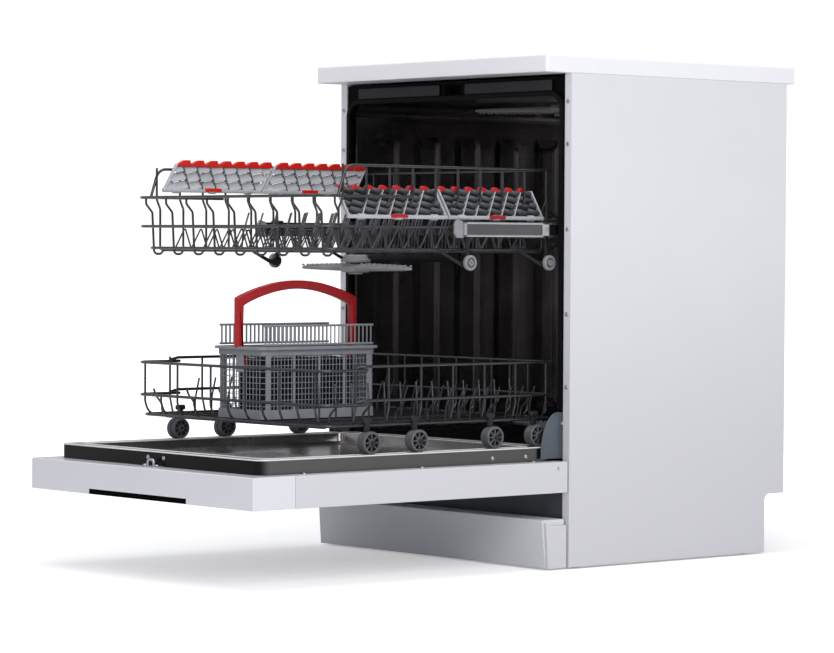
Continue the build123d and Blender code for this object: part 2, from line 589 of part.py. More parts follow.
# Upper rack with its runner brackets and the holder of the upper spray arm
with BuildPart() as upper_rack:
    grille_floor(UP_Y0, UP_Y1, UP_Z, 13, 9)
    for s in (-1, 1):
        grille_wall(s * RACK_X, UP_Y0 + RAIL_R + WELD, UP_Y1 - RAIL_R - WELD, UP_Z,
                    (UP_Z + FOOT, 572, UP_TOP), 14, True)
        for y in (-182, -8):
            slab(s * 246.6, s * 253, y - 12, y + 12, RAIL_Z - 10, RAIL_Z + 16)
            slab(s * 252, s * 260.9, y - 9, y + 9, RAIL_Z - 7, RAIL_Z + 7)
        for y in (-182, -8):
            slab(s * 246.6, s * 252, y - 6, y + 6, 496, RAIL_Z)
            rod("x", s * 256.5, y, 504, 9, 9)
    grille_wall(UP_Y0, -RACK_X - RAIL_R, RACK_X + RAIL_R, UP_Z, (UP_Z + FOOT, 563, 609), 13, False)
    grille_wall(UP_Y1, -RACK_X - RAIL_R, RACK_X + RAIL_R, UP_Z, (UP_Z + FOOT, 563, UP_TOP), 13, False)
    rod("z", 0, UP_ARM_Y, 502.5, 38, 6)
    rod("z", 0, UP_ARM_Y, 484.3, 3, 12)
    rod("y", 0, -100, 512, 230, 7)
    rod("y", 0, -100, 512, 232, 5, Mode.SUBTRACT)
    rod("z", 0, UP_ARM_Y, 512, 20, 12)
save(upper_rack, "upper_rack")

# Four folding cup shelves: a hinged rail, leaning slats and two cross bars; the same
# moulding serves both sides, so the left pair leans back and the right pair forward
SHELF_L, SHELF_H, LEAN = 190.0, 48.0, 30.0
SHELF_X = RACK_X - STAND_IN - WIRE_R - CLEAR - 3.4
SHELVES = (("shelf_left_front", -SHELF_X, -330, 622, LEAN), ("shelf_left_rear", -SHELF_X, -120, 622, LEAN),
           ("shelf_right_front", SHELF_X, -322, 577, -LEAN), ("shelf_right_rear", SHELF_X, -112, 577, -LEAN))
for label, x, y, z, lean in SHELVES:
    with BuildPart() as shelf:
        rod("y", x, y, z, SHELF_L, 3.4)
        with BuildSketch(Plane.YZ.offset(x)):
            for v in steps(y - SHELF_L / 2 + 5, y + SHELF_L / 2 - 5, 9):
                with BuildLine():
                    Polyline((FY + v - 4, z), (FY + v + 4, z), (FY + v + 4 + lean, z + SHELF_H),
                             (FY + v - 4 + lean, z + SHELF_H), close=True)
                make_face()
            for part in (0.4, 0.85):
                with Locations((FY + y + part * lean, z + part * SHELF_H)):
                    Rectangle(SHELF_L - 14, 4)
        extrude(amount=1.3, both=True)
    save(shelf, label)
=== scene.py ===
import bmesh
import bpy
import json
import math
from mathutils import Matrix, Vector


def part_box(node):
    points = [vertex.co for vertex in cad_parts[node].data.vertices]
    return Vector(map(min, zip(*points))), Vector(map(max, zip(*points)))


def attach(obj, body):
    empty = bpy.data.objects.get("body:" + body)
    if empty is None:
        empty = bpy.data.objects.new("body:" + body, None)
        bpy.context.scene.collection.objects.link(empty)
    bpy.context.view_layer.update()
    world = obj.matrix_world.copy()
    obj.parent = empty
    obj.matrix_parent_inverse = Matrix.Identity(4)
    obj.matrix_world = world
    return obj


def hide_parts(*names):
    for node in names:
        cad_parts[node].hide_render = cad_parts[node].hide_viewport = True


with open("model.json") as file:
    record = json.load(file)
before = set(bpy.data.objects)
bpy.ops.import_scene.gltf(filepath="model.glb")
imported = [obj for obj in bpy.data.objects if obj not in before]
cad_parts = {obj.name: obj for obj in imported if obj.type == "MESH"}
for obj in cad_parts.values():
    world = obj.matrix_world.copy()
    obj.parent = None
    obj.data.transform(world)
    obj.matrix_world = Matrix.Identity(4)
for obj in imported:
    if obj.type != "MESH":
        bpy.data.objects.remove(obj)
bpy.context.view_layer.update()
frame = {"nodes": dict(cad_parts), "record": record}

# Worktop and side panels. The worktop is laminated board with a square edge. The panels are folded
# steel sheet, white enamelled and screwed to the base, with painted shade that makes them a little
# darker towards the floor.
WHITE = (0.80, 0.80, 0.83)
finishes, slots = {}, {}


def add_finish(name, material, slot=None):
    """Keeps a finish by name, with its slot, and puts it on the solids that the record gives it."""
    finishes[name] = material
    slots[name] = slot or name
    for entry in frame["record"]["subparts"]:
        if entry["material_slot"] == name:
            mesh = frame["nodes"][entry["node"]].data
            mesh.materials.clear()
            mesh.materials.append(material)


def feed(tree, socket, value):
    """Links a socket to a term, or sets it to a value; a colour gets its alpha."""
    if isinstance(value, Term):
        tree.links.new(value.socket, socket)
    elif socket.type == "RGBA":
        socket.default_value = (*value, 1)
    else:
        socket.default_value = value


def add_node(tree, kind, settings, sockets, out=0):
    """One node of any type: its settings first, then the values or links of its sockets."""
    node = tree.nodes.new(kind)
    for name, value in settings.items():
        setattr(node, name, value)
    for key, value in sockets.items():
        feed(tree, node.inputs[key], value)
    return Term(tree, node.outputs[out])


class Term:
    """A socket that can be used in sums, so shader maths reads like maths."""

    def __init__(self, tree, socket):
        self.tree = tree
        self.socket = socket

    def maths(self, operation, first, second=0.0):
        return add_node(self.tree, "ShaderNodeMath", {"operation": operation}, {0: first, 1: second})

    def __add__(self, other):
        return self.maths("ADD", self, other)

    def __radd__(self, other):
        return self.maths("ADD", other, self)

    def __sub__(self, other):
        return self.maths("SUBTRACT", self, other)

    def __rsub__(self, other):
        return self.maths("SUBTRACT", other, self)

    def __mul__(self, other):
        return self.maths("MULTIPLY", self, other)

    def __rmul__(self, other):
        return self.maths("MULTIPLY", other, self)

    def __truediv__(self, other):
        return self.maths("DIVIDE", self, other)

    def __rtruediv__(self, other):
        return self.maths("DIVIDE", other, self)

    def absolute(self):
        return self.maths("ABSOLUTE", self)

    def bounce(self, half):
        return self.maths("PINGPONG", self, half)

    def most(self, other):
        return self.maths("MAXIMUM", self, other)

    def ease(self, low, high):
        """0 below low and 1 above high, with a smooth step between."""
        settings = {"interpolation_type": "SMOOTHSTEP"}
        sockets = {"From Min": low, "From Max": high, "Value": self}
        return add_node(self.tree, "ShaderNodeMapRange", settings, sockets, "Result")


class Finish:
    """One material: a Principled shader with helpers for noise, colour mixing and bumps."""

    def __init__(self, name, stretch=(1, 1, 1)):
        self.material = bpy.data.materials.new(name)
        self.material.use_nodes = True
        self.tree = self.material.node_tree
        self.shader = self.tree.nodes["Principled BSDF"]
        self.coords = self.node("ShaderNodeTexCoord", {}, {}, "Object")
        self.stretched = self.vector_maths("MULTIPLY", {0: self.coords, 1: stretch})

    def node(self, kind, settings, sockets, out=0):
        return add_node(self.tree, kind, settings, sockets, out)

    def vector_maths(self, operation, sockets, out=0):
        return self.node("ShaderNodeVectorMath", {"operation": operation}, sockets, out)

    def axis(self, letter):
        return self.node("ShaderNodeSeparateXYZ", {}, {0: self.coords}, letter)

    def noise(self, scale, detail, rough=0.5, stretched=False, distortion=0.0):
        values = {"Scale": scale, "Detail": detail, "Roughness": rough, "Distortion": distortion,
                  "Vector": self.stretched if stretched else self.coords}
        return self.node("ShaderNodeTexNoise", {}, values, "Fac")

    def cells(self, scale):
        return self.node("ShaderNodeTexVoronoi", {}, {"Scale": scale, "Vector": self.coords}, "Distance")

    def corner(self, radius):
        """1 on worn or rounded corners and 0 on flats, from the bevel normal."""
        soft = self.node("ShaderNodeBevel", {}, {"Radius": radius})
        flat = self.node("ShaderNodeNewGeometry", {}, {}, "Normal")
        return 1.0 - self.vector_maths("DOT_PRODUCT", {0: soft, 1: flat}, "Value")

    def mix(self, amount, first, second):
        return self.node("ShaderNodeMix", {"data_type": "RGBA"}, {0: amount, 6: first, 7: second}, 2)

    def put(self, name, value):
        feed(self.tree, self.shader.inputs[name], value)

    def bump(self, height, depth, strength=1.0, bevel=0.0):
        values = {"Strength": strength, "Distance": depth, "Height": height}
        if bevel:
            values["Normal"] = self.node("ShaderNodeBevel", {}, {"Radius": bevel})
        self.put("Normal", self.node("ShaderNodeBump", {}, values))


def tinted(colour, factor, lift=0.0):
    """A colour made lighter or darker, kept within white."""
    return tuple(min(1, c * factor + lift) for c in colour)


def enamel(name, colour, rough, coat, floor_shade=0.0):
    """Sprayed enamel or smooth plastic: faint orange peel, slight mottling and softened edges. Where
    floor_shade is given, painted shade makes it darker towards the floor."""
    f = Finish(name)
    mottle = f.noise(9, 5)
    shade = f.mix(mottle.ease(0.2, 0.8), tinted(colour, 0.985), tinted(colour, 1.01))
    # Painted shade: the colour darkens towards the floor, standing in for less light lower down.
    if floor_shade:
        low = (1.0 - f.axis("Z").ease(0.02, 0.62)) * floor_shade
        shade = f.mix(low, shade, tinted(colour, 0.78))
    rubbed = f.corner(0.0012).ease(0.02, 0.35) * 0.35
    f.put("Base Color", f.mix(rubbed, shade, tinted(colour, 1.08)))
    f.put("Roughness", rough + (f.noise(38, 6) - 0.5) * 0.04)
    f.put("Coat Weight", coat + (mottle - 0.5) * 0.06)
    f.bump(f.noise(420, 3) * 0.7 + f.noise(60, 2) * 0.3, 0.00006, 0.6, 0.0009)
    return f.material


add_finish("worktop", enamel("worktop laminate", (0.93, 0.93, 0.95), 0.38, 0.15))
# The side panels' enamel carries painted shade that darkens it towards the floor.
add_finish("paint", enamel("white enamel", WHITE, 0.34, 0.3, floor_shade=0.85))

# Back panel, base tray, feet and control board. The panel is bare galvanised sheet, the tray and the
# four screw feet are black moulded plastic, and the board is coated glass fibre.
LONG_SCRATCH, FINE_SCRATCH = 9.0, 900.0


def moulded(name, colour, rough=0.5, grain=1400, depth=0.00008, dust=0.12, shine=0.5):
    """Moulded plastic: fine grain, flow marks and a little dust where it is not handled."""
    f = Finish(name)
    flow = f.noise(14, 6, 0.6, distortion=0.8)
    shade = f.mix(flow.ease(0.25, 0.75), tinted(colour, 0.86), tinted(colour, 1.1))
    worn = f.corner(0.001).ease(0.02, 0.4) * (0.2 + dust)
    f.put("Base Color", f.mix(worn, shade, tinted(colour, 1.45, 0.02)))
    f.put("Roughness", rough + (f.noise(55, 5) - 0.5) * 0.22)
    f.put("Specular IOR Level", shine)
    f.bump(f.noise(grain, 2) * 0.6 + f.cells(grain * 0.5) * 0.4, depth, 0.5, 0.0006)
    return f.material


def steel(name, colour, rough, along, bright, toned=None):
    """Brushed stainless: long scratches along one axis, smears and faint water marks. A function
    given as toned changes the shade from place to place."""
    stretch = tuple(LONG_SCRATCH if axis == along else FINE_SCRATCH for axis in "xyz")
    f = Finish(name, stretch)
    brush = f.noise(1.0, 3, stretched=True)
    smear = f.noise(5, 5, 0.55, distortion=1.2)
    drops = f.cells(46).ease(0.0, 0.16)
    marks = (1.0 - drops) * f.noise(7, 3).ease(0.5, 0.75)
    tone = (brush - 0.5) * bright + smear * 0.5 + marks * 0.12
    shade = f.mix(tone.ease(-0.05, 0.75), tinted(colour, 0.72), tinted(colour, 1.3))
    f.put("Base Color", toned(f, shade, colour) if toned else shade)
    f.put("Metallic", 0.96 - marks * 0.2)
    f.put("Roughness", rough + (brush - 0.5) * 0.16 + (smear - 0.5) * 0.18 + marks * 0.08)
    f.bump(brush * 0.8 + smear * 0.2, 0.00004, 0.35, 0.0008)
    return f.material


add_finish("back", steel("galvanised sheet", (0.55, 0.56, 0.57), 0.42, "z", 0.4))
add_finish("base", moulded("base plastic", (0.045, 0.05, 0.06), 0.55))
add_finish("feet", moulded("foot plastic", (0.02, 0.02, 0.022), 0.6))
add_finish("board", moulded("circuit board", (0.02, 0.10, 0.04), 0.4))

# Tub: thin stainless sheet, brushed upright, with pressed panels along its walls that end below the
# ceiling and leave a plain band for the runners.
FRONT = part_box("panel_right")[0][1]
PANEL_FIRST, PANEL_PITCH, PANEL_SHARE, PANEL_SLOPE = 0.0805, 0.097, 0.25, 0.09
PANEL_DEPTH = 0.0035
SIDE_WALL = (0.262, 0.266)
PANEL_TOP, PANEL_FOOT = (0.706, 0.730), (0.228, 0.246)
BAND_LOW, BAND_HIGH = (0.524, 0.538), (0.580, 0.594)


def pressed(name, colour, rough):
    """Stainless tub sheet with its panels pressed in by a bump."""
    f = Finish(name, (FINE_SCRATCH, FINE_SCRATCH, LONG_SCRATCH))
    x, y, z = f.axis("X"), f.axis("Y"), f.axis("Z")
    side = x.absolute().ease(*SIDE_WALL)
    along = (y - (FRONT + PANEL_FIRST)) / PANEL_PITCH
    across = x / PANEL_PITCH + 0.5
    spot = (side * along + (1.0 - side) * across).bounce(0.5)
    panel = 1.0 - spot.ease(PANEL_SHARE - PANEL_SLOPE, PANEL_SHARE + PANEL_SLOPE)
    band = z.ease(*BAND_LOW) * (1.0 - z.ease(*BAND_HIGH))
    panel = panel * (1.0 - z.ease(*PANEL_TOP)) * z.ease(*PANEL_FOOT) * (1.0 - band)
    brush = f.noise(1.0, 3, stretched=True)
    smear = f.noise(6, 5, 0.55, distortion=1.4)
    tone = (brush - 0.5) * 0.1 + smear * 0.7
    f.put("Base Color", f.mix(tone.ease(0.0, 0.8), tinted(colour, 0.7), tinted(colour, 1.2)))
    f.put("Metallic", 1.0 - smear * 0.05)
    f.put("Roughness", rough + (brush - 0.5) * 0.05 + (smear - 0.5) * 0.14)
    f.bump(panel + brush * 0.002, PANEL_DEPTH)
    return f.material


add_finish("tub", pressed("tub_stainless", (0.30, 0.285, 0.285), 0.17))

# Front frame, seals, latch and header strips. The frame and the latch are black moulded plastic, as
# both pumps are. Rubber seals sit in the frame, and two dark grey strips beside the latch.
MM = 0.001
STRIP_NEAR, STRIP_FAR, STRIP_LOW, STRIP_HIGH = 33, 251, 788.5, 806.5


def rubbery(name, colour):
    """Moulded rubber with bloom and a matt skin."""
    f = Finish(name)
    bloom = f.noise(60, 5)
    f.put("Specular IOR Level", 0.12)
    f.put("Base Color", f.mix(bloom.ease(0.4, 0.8), colour, tinted(colour, 1.8)))
    f.put("Roughness", 0.62 + (bloom - 0.5) * 0.2)
    f.bump(f.noise(900, 2), 0.00012, 0.6)
    return f.material


def at(x, y, z):
    """A point in the frame from millimetres, with y counted from the cabinet's front edge."""
    return Vector((x * MM, FRONT + y * MM, z * MM))


def settle(obj, body, finish, *nodes):
    """Names where a finished piece rides, and the solids that it stands for."""
    obj.data.materials.clear()
    obj.data.materials.append(finishes[finish])
    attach(obj, body)
    if nodes:
        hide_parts(*nodes)


def new_mesh(name, verts, edges=(), faces=()):
    """A plain mesh object at the origin."""
    mesh = bpy.data.meshes.new(name)
    mesh.from_pydata([tuple(v) for v in verts], list(edges), list(faces))
    mesh.update()
    obj = bpy.data.objects.new(name, mesh)
    bpy.context.scene.collection.objects.link(obj)
    return obj


def settled_mesh(obj, modifier):
    """Keeps what a modifier makes as the object's plain mesh."""
    bpy.context.view_layer.update()
    mesh = bpy.data.meshes.new_from_object(obj.evaluated_get(bpy.context.evaluated_depsgraph_get()))
    obj.modifiers.remove(modifier)
    obj.data = mesh
    return obj


def rounded(obj, bevel, segments=2):
    """Makes normals point out and rounds the sharp edges."""
    bm = bmesh.new()
    bm.from_mesh(obj.data)
    bmesh.ops.recalc_face_normals(bm, faces=bm.faces)
    bm.to_mesh(obj.data)
    bm.free()
    if bevel:
        modifier = obj.modifiers.new("round", "BEVEL")
        modifier.width = bevel * MM
        modifier.segments = segments
        modifier.limit_method = "ANGLE"
        modifier.angle_limit = math.radians(40)
        settled_mesh(obj, modifier)
    obj.data.set_sharp_from_angle(angle=math.radians(32))
    obj.data.polygons.foreach_set("use_smooth", [False] * len(obj.data.polygons))
    return obj


def plate(name, outline, axis, low, high, bevel=0.0, segments=2):
    """An outline in millimetres pushed from low to high along X or Z, with rounded edges. Along X
    the outline is (y, z), and along Z (x, y)."""
    def spot(a, b, c):
        return at(c, a, b) if axis == "x" else at(a, b, c)
    count = len(outline)
    verts = [spot(a, b, low) for a, b in outline] + [spot(a, b, high) for a, b in outline]
    faces = [list(range(count))[::-1], list(range(count, 2 * count))]
    faces += [(i, (i + 1) % count, (i + 1) % count + count, i + count) for i in range(count)]
    return rounded(new_mesh(name, verts, faces=faces), bevel, segments)


def block(name, x0, x1, y0, y1, z0, z1, bevel=1.0):
    """A box with rounded edges between two corners."""
    return plate(name, [(x0, y0), (x1, y0), (x1, y1), (x0, y1)], "z", z0, z1, bevel)


def merged(name, objects):
    """Joins finished objects into one piece and keeps their shading."""
    verts, faces, smooth, sharp = [], [], [], set()
    for obj in objects:
        first = len(verts)
        verts += [v.co.copy() for v in obj.data.vertices]
        faces += [[first + i for i in p.vertices] for p in obj.data.polygons]
        smooth += [p.use_smooth for p in obj.data.polygons]
        sharp |= {tuple(sorted(first + i for i in e.vertices)) for e in obj.data.edges if e.use_edge_sharp}
        bpy.data.objects.remove(obj)
    whole = new_mesh(name, verts, faces=faces)
    whole.data.polygons.foreach_set("use_smooth", smooth)
    for edge in whole.data.edges:
        edge.use_edge_sharp = tuple(sorted(edge.vertices)) in sharp
    return whole


add_finish("frame", moulded("black frame", (0.001, 0.001, 0.0012), 0.4, 900, 0.00005, 0.0, 0.05))
add_finish("black", moulded("black plastic", (0.001, 0.001, 0.0014), 0.6, 1400, 0.00005, 0.0, 0.02))
add_finish("strip", moulded("header strip", (0.022, 0.023, 0.025), 0.4, 900, 0.00005, 0.1, 0.3), "base")
add_finish("rubber", rubbery("seal rubber", (0.003, 0.003, 0.004)))
settle(merged("header_strips", [block("strip", x0, x1, -0.6, 1.2, STRIP_LOW, STRIP_HIGH, 1.2)
                                for x0, x1 in ((-STRIP_FAR, -STRIP_NEAR), (STRIP_NEAR, STRIP_FAR))]),
       "cabinet", "strip")

# Plinth: a folded and painted sheet that leans back towards the floor, between lighter end pieces
# with a stepped top. All three are screwed to the base tray.
PLINTH_X, PLINTH_LOW, PLINTH_BACK = 291, 3, -3
add_finish("plinth", enamel("plinth paint", (0.72, 0.735, 0.76), 0.42, 0.12))
leaning = [(-52, 83), (-52, 76), (-44, PLINTH_LOW), (PLINTH_BACK, PLINTH_LOW), (PLINTH_BACK, 83)]
settle(plate("plinth_face", leaning, "x", -PLINTH_X, PLINTH_X, 1.5), "cabinet", "plinth", "plinth")
shoulder = [(-49, 79), (-45, 75.5), (-38, 73.5), (PLINTH_BACK, 73.5), (PLINTH_BACK, PLINTH_LOW),
            (-43.6, PLINTH_LOW)]
settle(merged("plinth_ends", [plate("end", shoulder, "x", s * PLINTH_X, s * 297, 0.8) for s in (-1, 1)]),
       "cabinet", "paint")

# Hinge covers: quarter-round plastic plates with a rolled edge that stand beside the door and are
# screwed to the front flanges by a tab.
COVER_X, COVER_LOW, COVER_TOP, COVER_FRONT = 276.4, 182, 257, -42
CURVE_LOW, CURVE_DEEP, CURVE_TALL = 188, 36, 69
BEND_STEPS = 5


def steps(first, last, count):
    """Evenly spaced values from first to last."""
    return [first + (last - first) * i / (count - 1) for i in range(count)]


def tree_with(name, **inputs):
    """A new geometry tree with named inputs of the given kinds, and what each input gives."""
    tree = bpy.data.node_groups.new(name, "GeometryNodeTree")
    kinds = {"Geometry": "Geometry", **inputs}
    for label, kind in kinds.items():
        tree.interface.new_socket(label, in_out="INPUT", socket_type=f"NodeSocket{kind}")
    tree.interface.new_socket("Geometry", in_out="OUTPUT", socket_type="NodeSocketGeometry")
    start = tree.nodes.new("NodeGroupInput")
    return tree, {label: Term(tree, start.outputs[label]) for label in kinds}


def close_tree(tree, shape, material):
    """Ends a tree: realized, smooth shaded, with its material."""
    real = add_node(tree, "GeometryNodeRealizeInstances", {}, {0: shape})
    smooth = add_node(tree, "GeometryNodeSetShadeSmooth", {}, {0: real})
    paint = add_node(tree, "GeometryNodeSetMaterial", {}, {0: smooth, "Material": material})
    feed(tree, tree.nodes.new("NodeGroupOutput").inputs[0], paint)
    return tree


def wire_tree():
    """Bends edge paths into round wire: fillets each corner and sweeps a circle along."""
    tree, given = tree_with("wire bender", Radius="Float", Bend="Float", Sides="Int", Material="Material")
    curve = add_node(tree, "GeometryNodeMeshToCurve", {}, {0: given["Geometry"]})
    bend = add_node(tree, "GeometryNodeFilletCurve", {"mode": "POLY"}, {
        "Curve": curve, "Count": BEND_STEPS, "Limit Radius": True, "Radius": given["Bend"]})
    circle = add_node(tree, "GeometryNodeCurvePrimitiveCircle", {}, {
        "Resolution": given["Sides"], "Radius": given["Radius"]}, "Curve")
    sweep = add_node(tree, "GeometryNodeCurveToMesh", {}, {
        "Curve": bend, "Profile Curve": circle, "Fill Caps": True}, "Mesh")
    return close_tree(tree, sweep, given["Material"])


def grown(obj, tree, **values):
    """Runs a tree on an object and keeps the result as its plain mesh."""
    modifier = obj.modifiers.new("grow", "NODES")
    modifier.node_group = tree
    for item in tree.interface.items_tree:
        if item.in_out == "INPUT" and item.name in values:
            modifier[item.identifier] = values[item.name]
    return settled_mesh(obj, modifier)


WIRE = wire_tree()


def wires(name, paths, radius, bend=8, closed=False, sides=8, finish="wire"):
    """Round wires along lists of points; closed paths become rings."""
    verts, edges = [], []
    for path in paths:
        first = len(verts)
        verts += path
        edges += [(first + i, first + i + 1) for i in range(len(path) - 1)]
        if closed:
            edges.append((len(verts) - 1, first))
    obj = new_mesh(name, verts, edges)
    return grown(obj, WIRE, Radius=radius * MM, Bend=bend * MM, Sides=sides, Material=finishes[finish])


add_finish("cover", moulded("hinge cover", (0.085, 0.105, 0.125), 0.4))
curve = [(COVER_FRONT + CURVE_DEEP * (1 - math.cos(a)), CURVE_LOW + CURVE_TALL * math.sin(a))
         for a in steps(0, math.pi / 2, 12)]
profile = [(1.6, COVER_LOW), (COVER_FRONT, COVER_LOW)] + curve + [(1.6, COVER_TOP)]
rolled = [(COVER_FRONT, COVER_LOW)] + curve + [(0, COVER_TOP)]
covers = []
for s in (-1, 1):
    covers.append(plate("plate", profile, "x", s * COVER_X - 0.9, s * COVER_X + 0.9, 0.4))
    covers.append(wires("edge", [[at(s * COVER_X, y, z) for y, z in rolled]], 1.5, 0, finish="cover"))
    covers.append(block("tab", s * (COVER_X - 1), s * 282, 0.3, 1.7, COVER_LOW, COVER_TOP + 1, 0.4))
settle(merged("hinge_cover_plates", covers), "cabinet", "cover", "hinge_covers")

# Door: an enamelled panel and a plastic fascia with a black grip, and a stainless pan inside. The
# pan's rim is the lower rack's track, and its rolled edges are near-white enamel as a painted
# highlight. Its floor is open under the dispenser. A bent wire on a plate is the striker.
PAN = ((272, -620, -12, 20, 178.1), (272, -620, -12, 20, 200.3), (271.4, -619.4, -12.6, 19.4, 201.2),
       (247, -593, -38, 13, 201.2), (245.6, -591.6, -39.4, 12, 200.2), (243, -589, -42, 11, 187),
       (239, -585, -46, 9, 183.1), (72, -452, -348, 6, 183.1), (72, -452, -348, 6, 181.6),
       (270.6, -618.6, -13.4, 18.6, 181.6), (270.6, -618.6, -13.4, 18.6, 178.1))
EDGES = ((271.2, -619.2, -12.8, 19.2), (246.6, -592.6, -38.4, 12.4))
EDGE_Z, STRIKER_Y = 201.0, -630
WALL_X, WALL_Y, WALL_TOP = (0.2485, 0.2495), (-0.5965, -0.5955), (0.2003, 0.2006)
WALL_FRONT = (-0.617, -0.600)


def smoothed(obj, degrees=32):
    """Smooth shading that stops at the edges sharper than an angle."""
    obj.data.shade_smooth()
    obj.data.set_sharp_from_angle(angle=math.radians(degrees))
    return obj


def round_box(x0, x1, y0, y1, r, z, per_corner=7):
    """Points of a level rectangle with round corners."""
    spots = ((x1 - r, y1 - r, 0), (x0 + r, y1 - r, 90), (x0 + r, y0 + r, 180), (x1 - r, y0 + r, 270))
    return [at(x + r * math.cos(math.radians(a + t)), y + r * math.sin(math.radians(a + t)), z)
            for x, y, a in spots for t in steps(0, 90, per_corner)]


def lofted(name, rings, ends="joined"):
    """Skin over equal rings of points, whose last ring joins the first or is capped."""
    count = len(rings[0])
    verts = [p for ring in rings for p in ring]
    faces = [] if ends == "joined" else [list(range(count)), list(range(len(verts) - count, len(verts)))]
    for ring in range(len(rings) if ends == "joined" else len(rings) - 1):
        here, there = ring * count, (ring + 1) % len(rings) * count
        turn = [(i, (i + 1) % count) for i in range(count)]
        faces += [(here + i, here + j, there + j, there + i) for i, j in turn]
    return smoothed(rounded(new_mesh(name, verts, faces=faces), 0), 24)


def mirrored(points):
    """A path through (x, y, z) points on the left, then through their mirror image on the right."""
    return [at(-x, y, z) for x, y, z in points] + [at(x, y, z) for x, y, z in points[::-1]]


def dark_walls(f, shade, colour):
    """Tones the pan's outer wall down, most of all along its front."""
    y = f.axis("Y")
    side = f.axis("X").absolute().ease(*WALL_X)
    near = 1.0 - y.ease(FRONT + WALL_Y[0], FRONT + WALL_Y[1])
    outer = side.most(near) * (1.0 - f.axis("Z").ease(*WALL_TOP))
    shade = f.mix(outer, shade, tinted(colour, 0.3))
    behind = y.ease(FRONT + WALL_FRONT[0], FRONT + WALL_FRONT[1])
    return f.mix((1.0 - behind) * outer, shade, tinted(colour, 0.04))


add_finish("fascia", enamel("fascia plastic", (0.76, 0.76, 0.80), 0.26, 0.4))
add_finish("window", moulded("smoked window", (0.012, 0.013, 0.016), 0.12, 300, 0.00002, 0.02))
add_finish("button", enamel("button plastic", (0.55, 0.55, 0.58), 0.3, 0.4))
add_finish("dispenser", moulded("dispenser plastic", (0.33, 0.335, 0.35), 0.42))
add_finish("steel", steel("plated steel", (0.52, 0.53, 0.55), 0.28, "x", 0.2))
add_finish("liner", steel("door stainless", (0.50, 0.48, 0.47), 0.24, "x", 0.2, toned=dark_walls))
# The rolled edges are near-white enamel: a painted highlight along the stainless pan's rim.
add_finish("bead", enamel("painted highlight edge", (0.80, 0.80, 0.79), 0.2, 0.6), "chrome")
settle(lofted("door_pan", [round_box(-x, x, y0, y1, r, z) for x, y0, y1, r, z in PAN]),
       "door", "liner", "door_liner")
edge = [round_box(-x, x, y0, y1, r, EDGE_Z) for x, y0, y1, r in EDGES]
settle(wires("door_pan_edges", edge, 1.3, 0, True, 8, "bead"), "door", "bead")
hook = [mirrored([(8, STRIKER_Y, 178), (8, STRIKER_Y, 189)])]
settle(merged("striker_hook", [wires("hook", hook, 2.3, 5, finish="steel"),
                               block("foot", -22, 22, -637, -620.4, 178.1, 179.6, 0.5)]),
       "door", "steel", "door_striker")
settle(block("grip_lip", -133.6, 128.6, -655.9, -653.4, 127.4, 136.4, 0.6), "door", "black")

# Lower rack: steel wire with a nylon coat, welded where it crosses. It has two-part rims, tall and
# short cross wires, long floor wires bent up at the ends, and three rows of fixed tines.
RACK_X = 249
LOW_FRONT, LOW_REAR = -480, 16
LOW_FLOOR, LOW_MID, LOW_RIM = 243, 286, 340
RIM_LAP, RIM_STEP = 74, 6
RIM_WIRE, CROSS_WIRE, TINE_WIRE = 2.5, 1.9, 1.5


def coated(name, colour, rough):
    """Nylon-coated wire: satin and slightly uneven."""
    f = Finish(name)
    uneven = f.noise(120, 4)
    f.put("Base Color", f.mix(uneven.ease(0.3, 0.7), tinted(colour, 0.8), tinted(colour, 1.2)))
    f.put("Metallic", 0.5)
    f.put("Roughness", rough + (f.noise(300, 3) - 0.5) * 0.1)
    f.put("Coat Weight", 0.5 + uneven * 0.3)
    f.put("Coat Roughness", 0.16)
    f.bump(f.noise(700, 3), 0.00008, 0.5)
    return f.material


def rim(z):
    """A rim in two wires: a front piece that runs under the ends of the longer one."""
    lapped, under = LOW_FRONT + RIM_LAP, z - RIM_STEP
    return [mirrored([(RACK_X, lapped + 16, under), (RACK_X, LOW_FRONT, under)]),
            mirrored([(RACK_X - 5, lapped - 6, under + 3), (RACK_X, lapped + 12, z), (RACK_X, LOW_REAR, z)])]


def level_ring(half, front, rear, z):
    """Corners of a level ring that is as wide on both sides."""
    return [at(-half, front, z), at(half, front, z), at(half, rear, z), at(-half, rear, z)]


def bridge(y, half):
    """A wire straight across the rack from the (x, z) points of one side."""
    return mirrored([(x, y, z) for x, z in half])


add_finish("wire", coated("coated wire", (0.036, 0.037, 0.041), 0.24))
base_ring = [level_ring(RACK_X - 4, LOW_FRONT + 6, LOW_REAR - 4, LOW_FLOOR + 4)]
tall_side = ((RACK_X - 2, LOW_RIM + 2), (RACK_X - 2, LOW_MID - 12), (RACK_X - 12, LOW_FLOOR))
short_side = ((RACK_X - 2, LOW_MID + 2), (RACK_X - 10, LOW_MID - 10), (RACK_X - 26, LOW_MID - 22),
              (RACK_X - 26, LOW_FLOOR))
cross = [bridge(y, tall_side if number % 2 else short_side)
         for number, y in enumerate(steps(LOW_FRONT + 34, LOW_REAR - 22, 14))]
long = []
for number, x in enumerate(steps(-RACK_X + 22, RACK_X - 22, 11)):
    top = LOW_MID if number % 2 else LOW_RIM
    long.append([at(x, LOW_REAR - 2, LOW_RIM + 1), at(x, LOW_REAR - 2, LOW_FLOOR + 4),
                 at(x, LOW_FRONT + 10, LOW_FLOOR + 4), at(x, LOW_FRONT + 2, LOW_FLOOR + 26),
                 at(x, LOW_FRONT + 2, top - 5)])
fixed_tines = [[at(x, y, LOW_FLOOR + 2), at(x, y + 4, LOW_FLOOR + 30), at(x + 6, y + 9, LOW_FLOOR + 56)]
               for x in (-95, 95, 205) for y in steps(-190, -6, 8)]
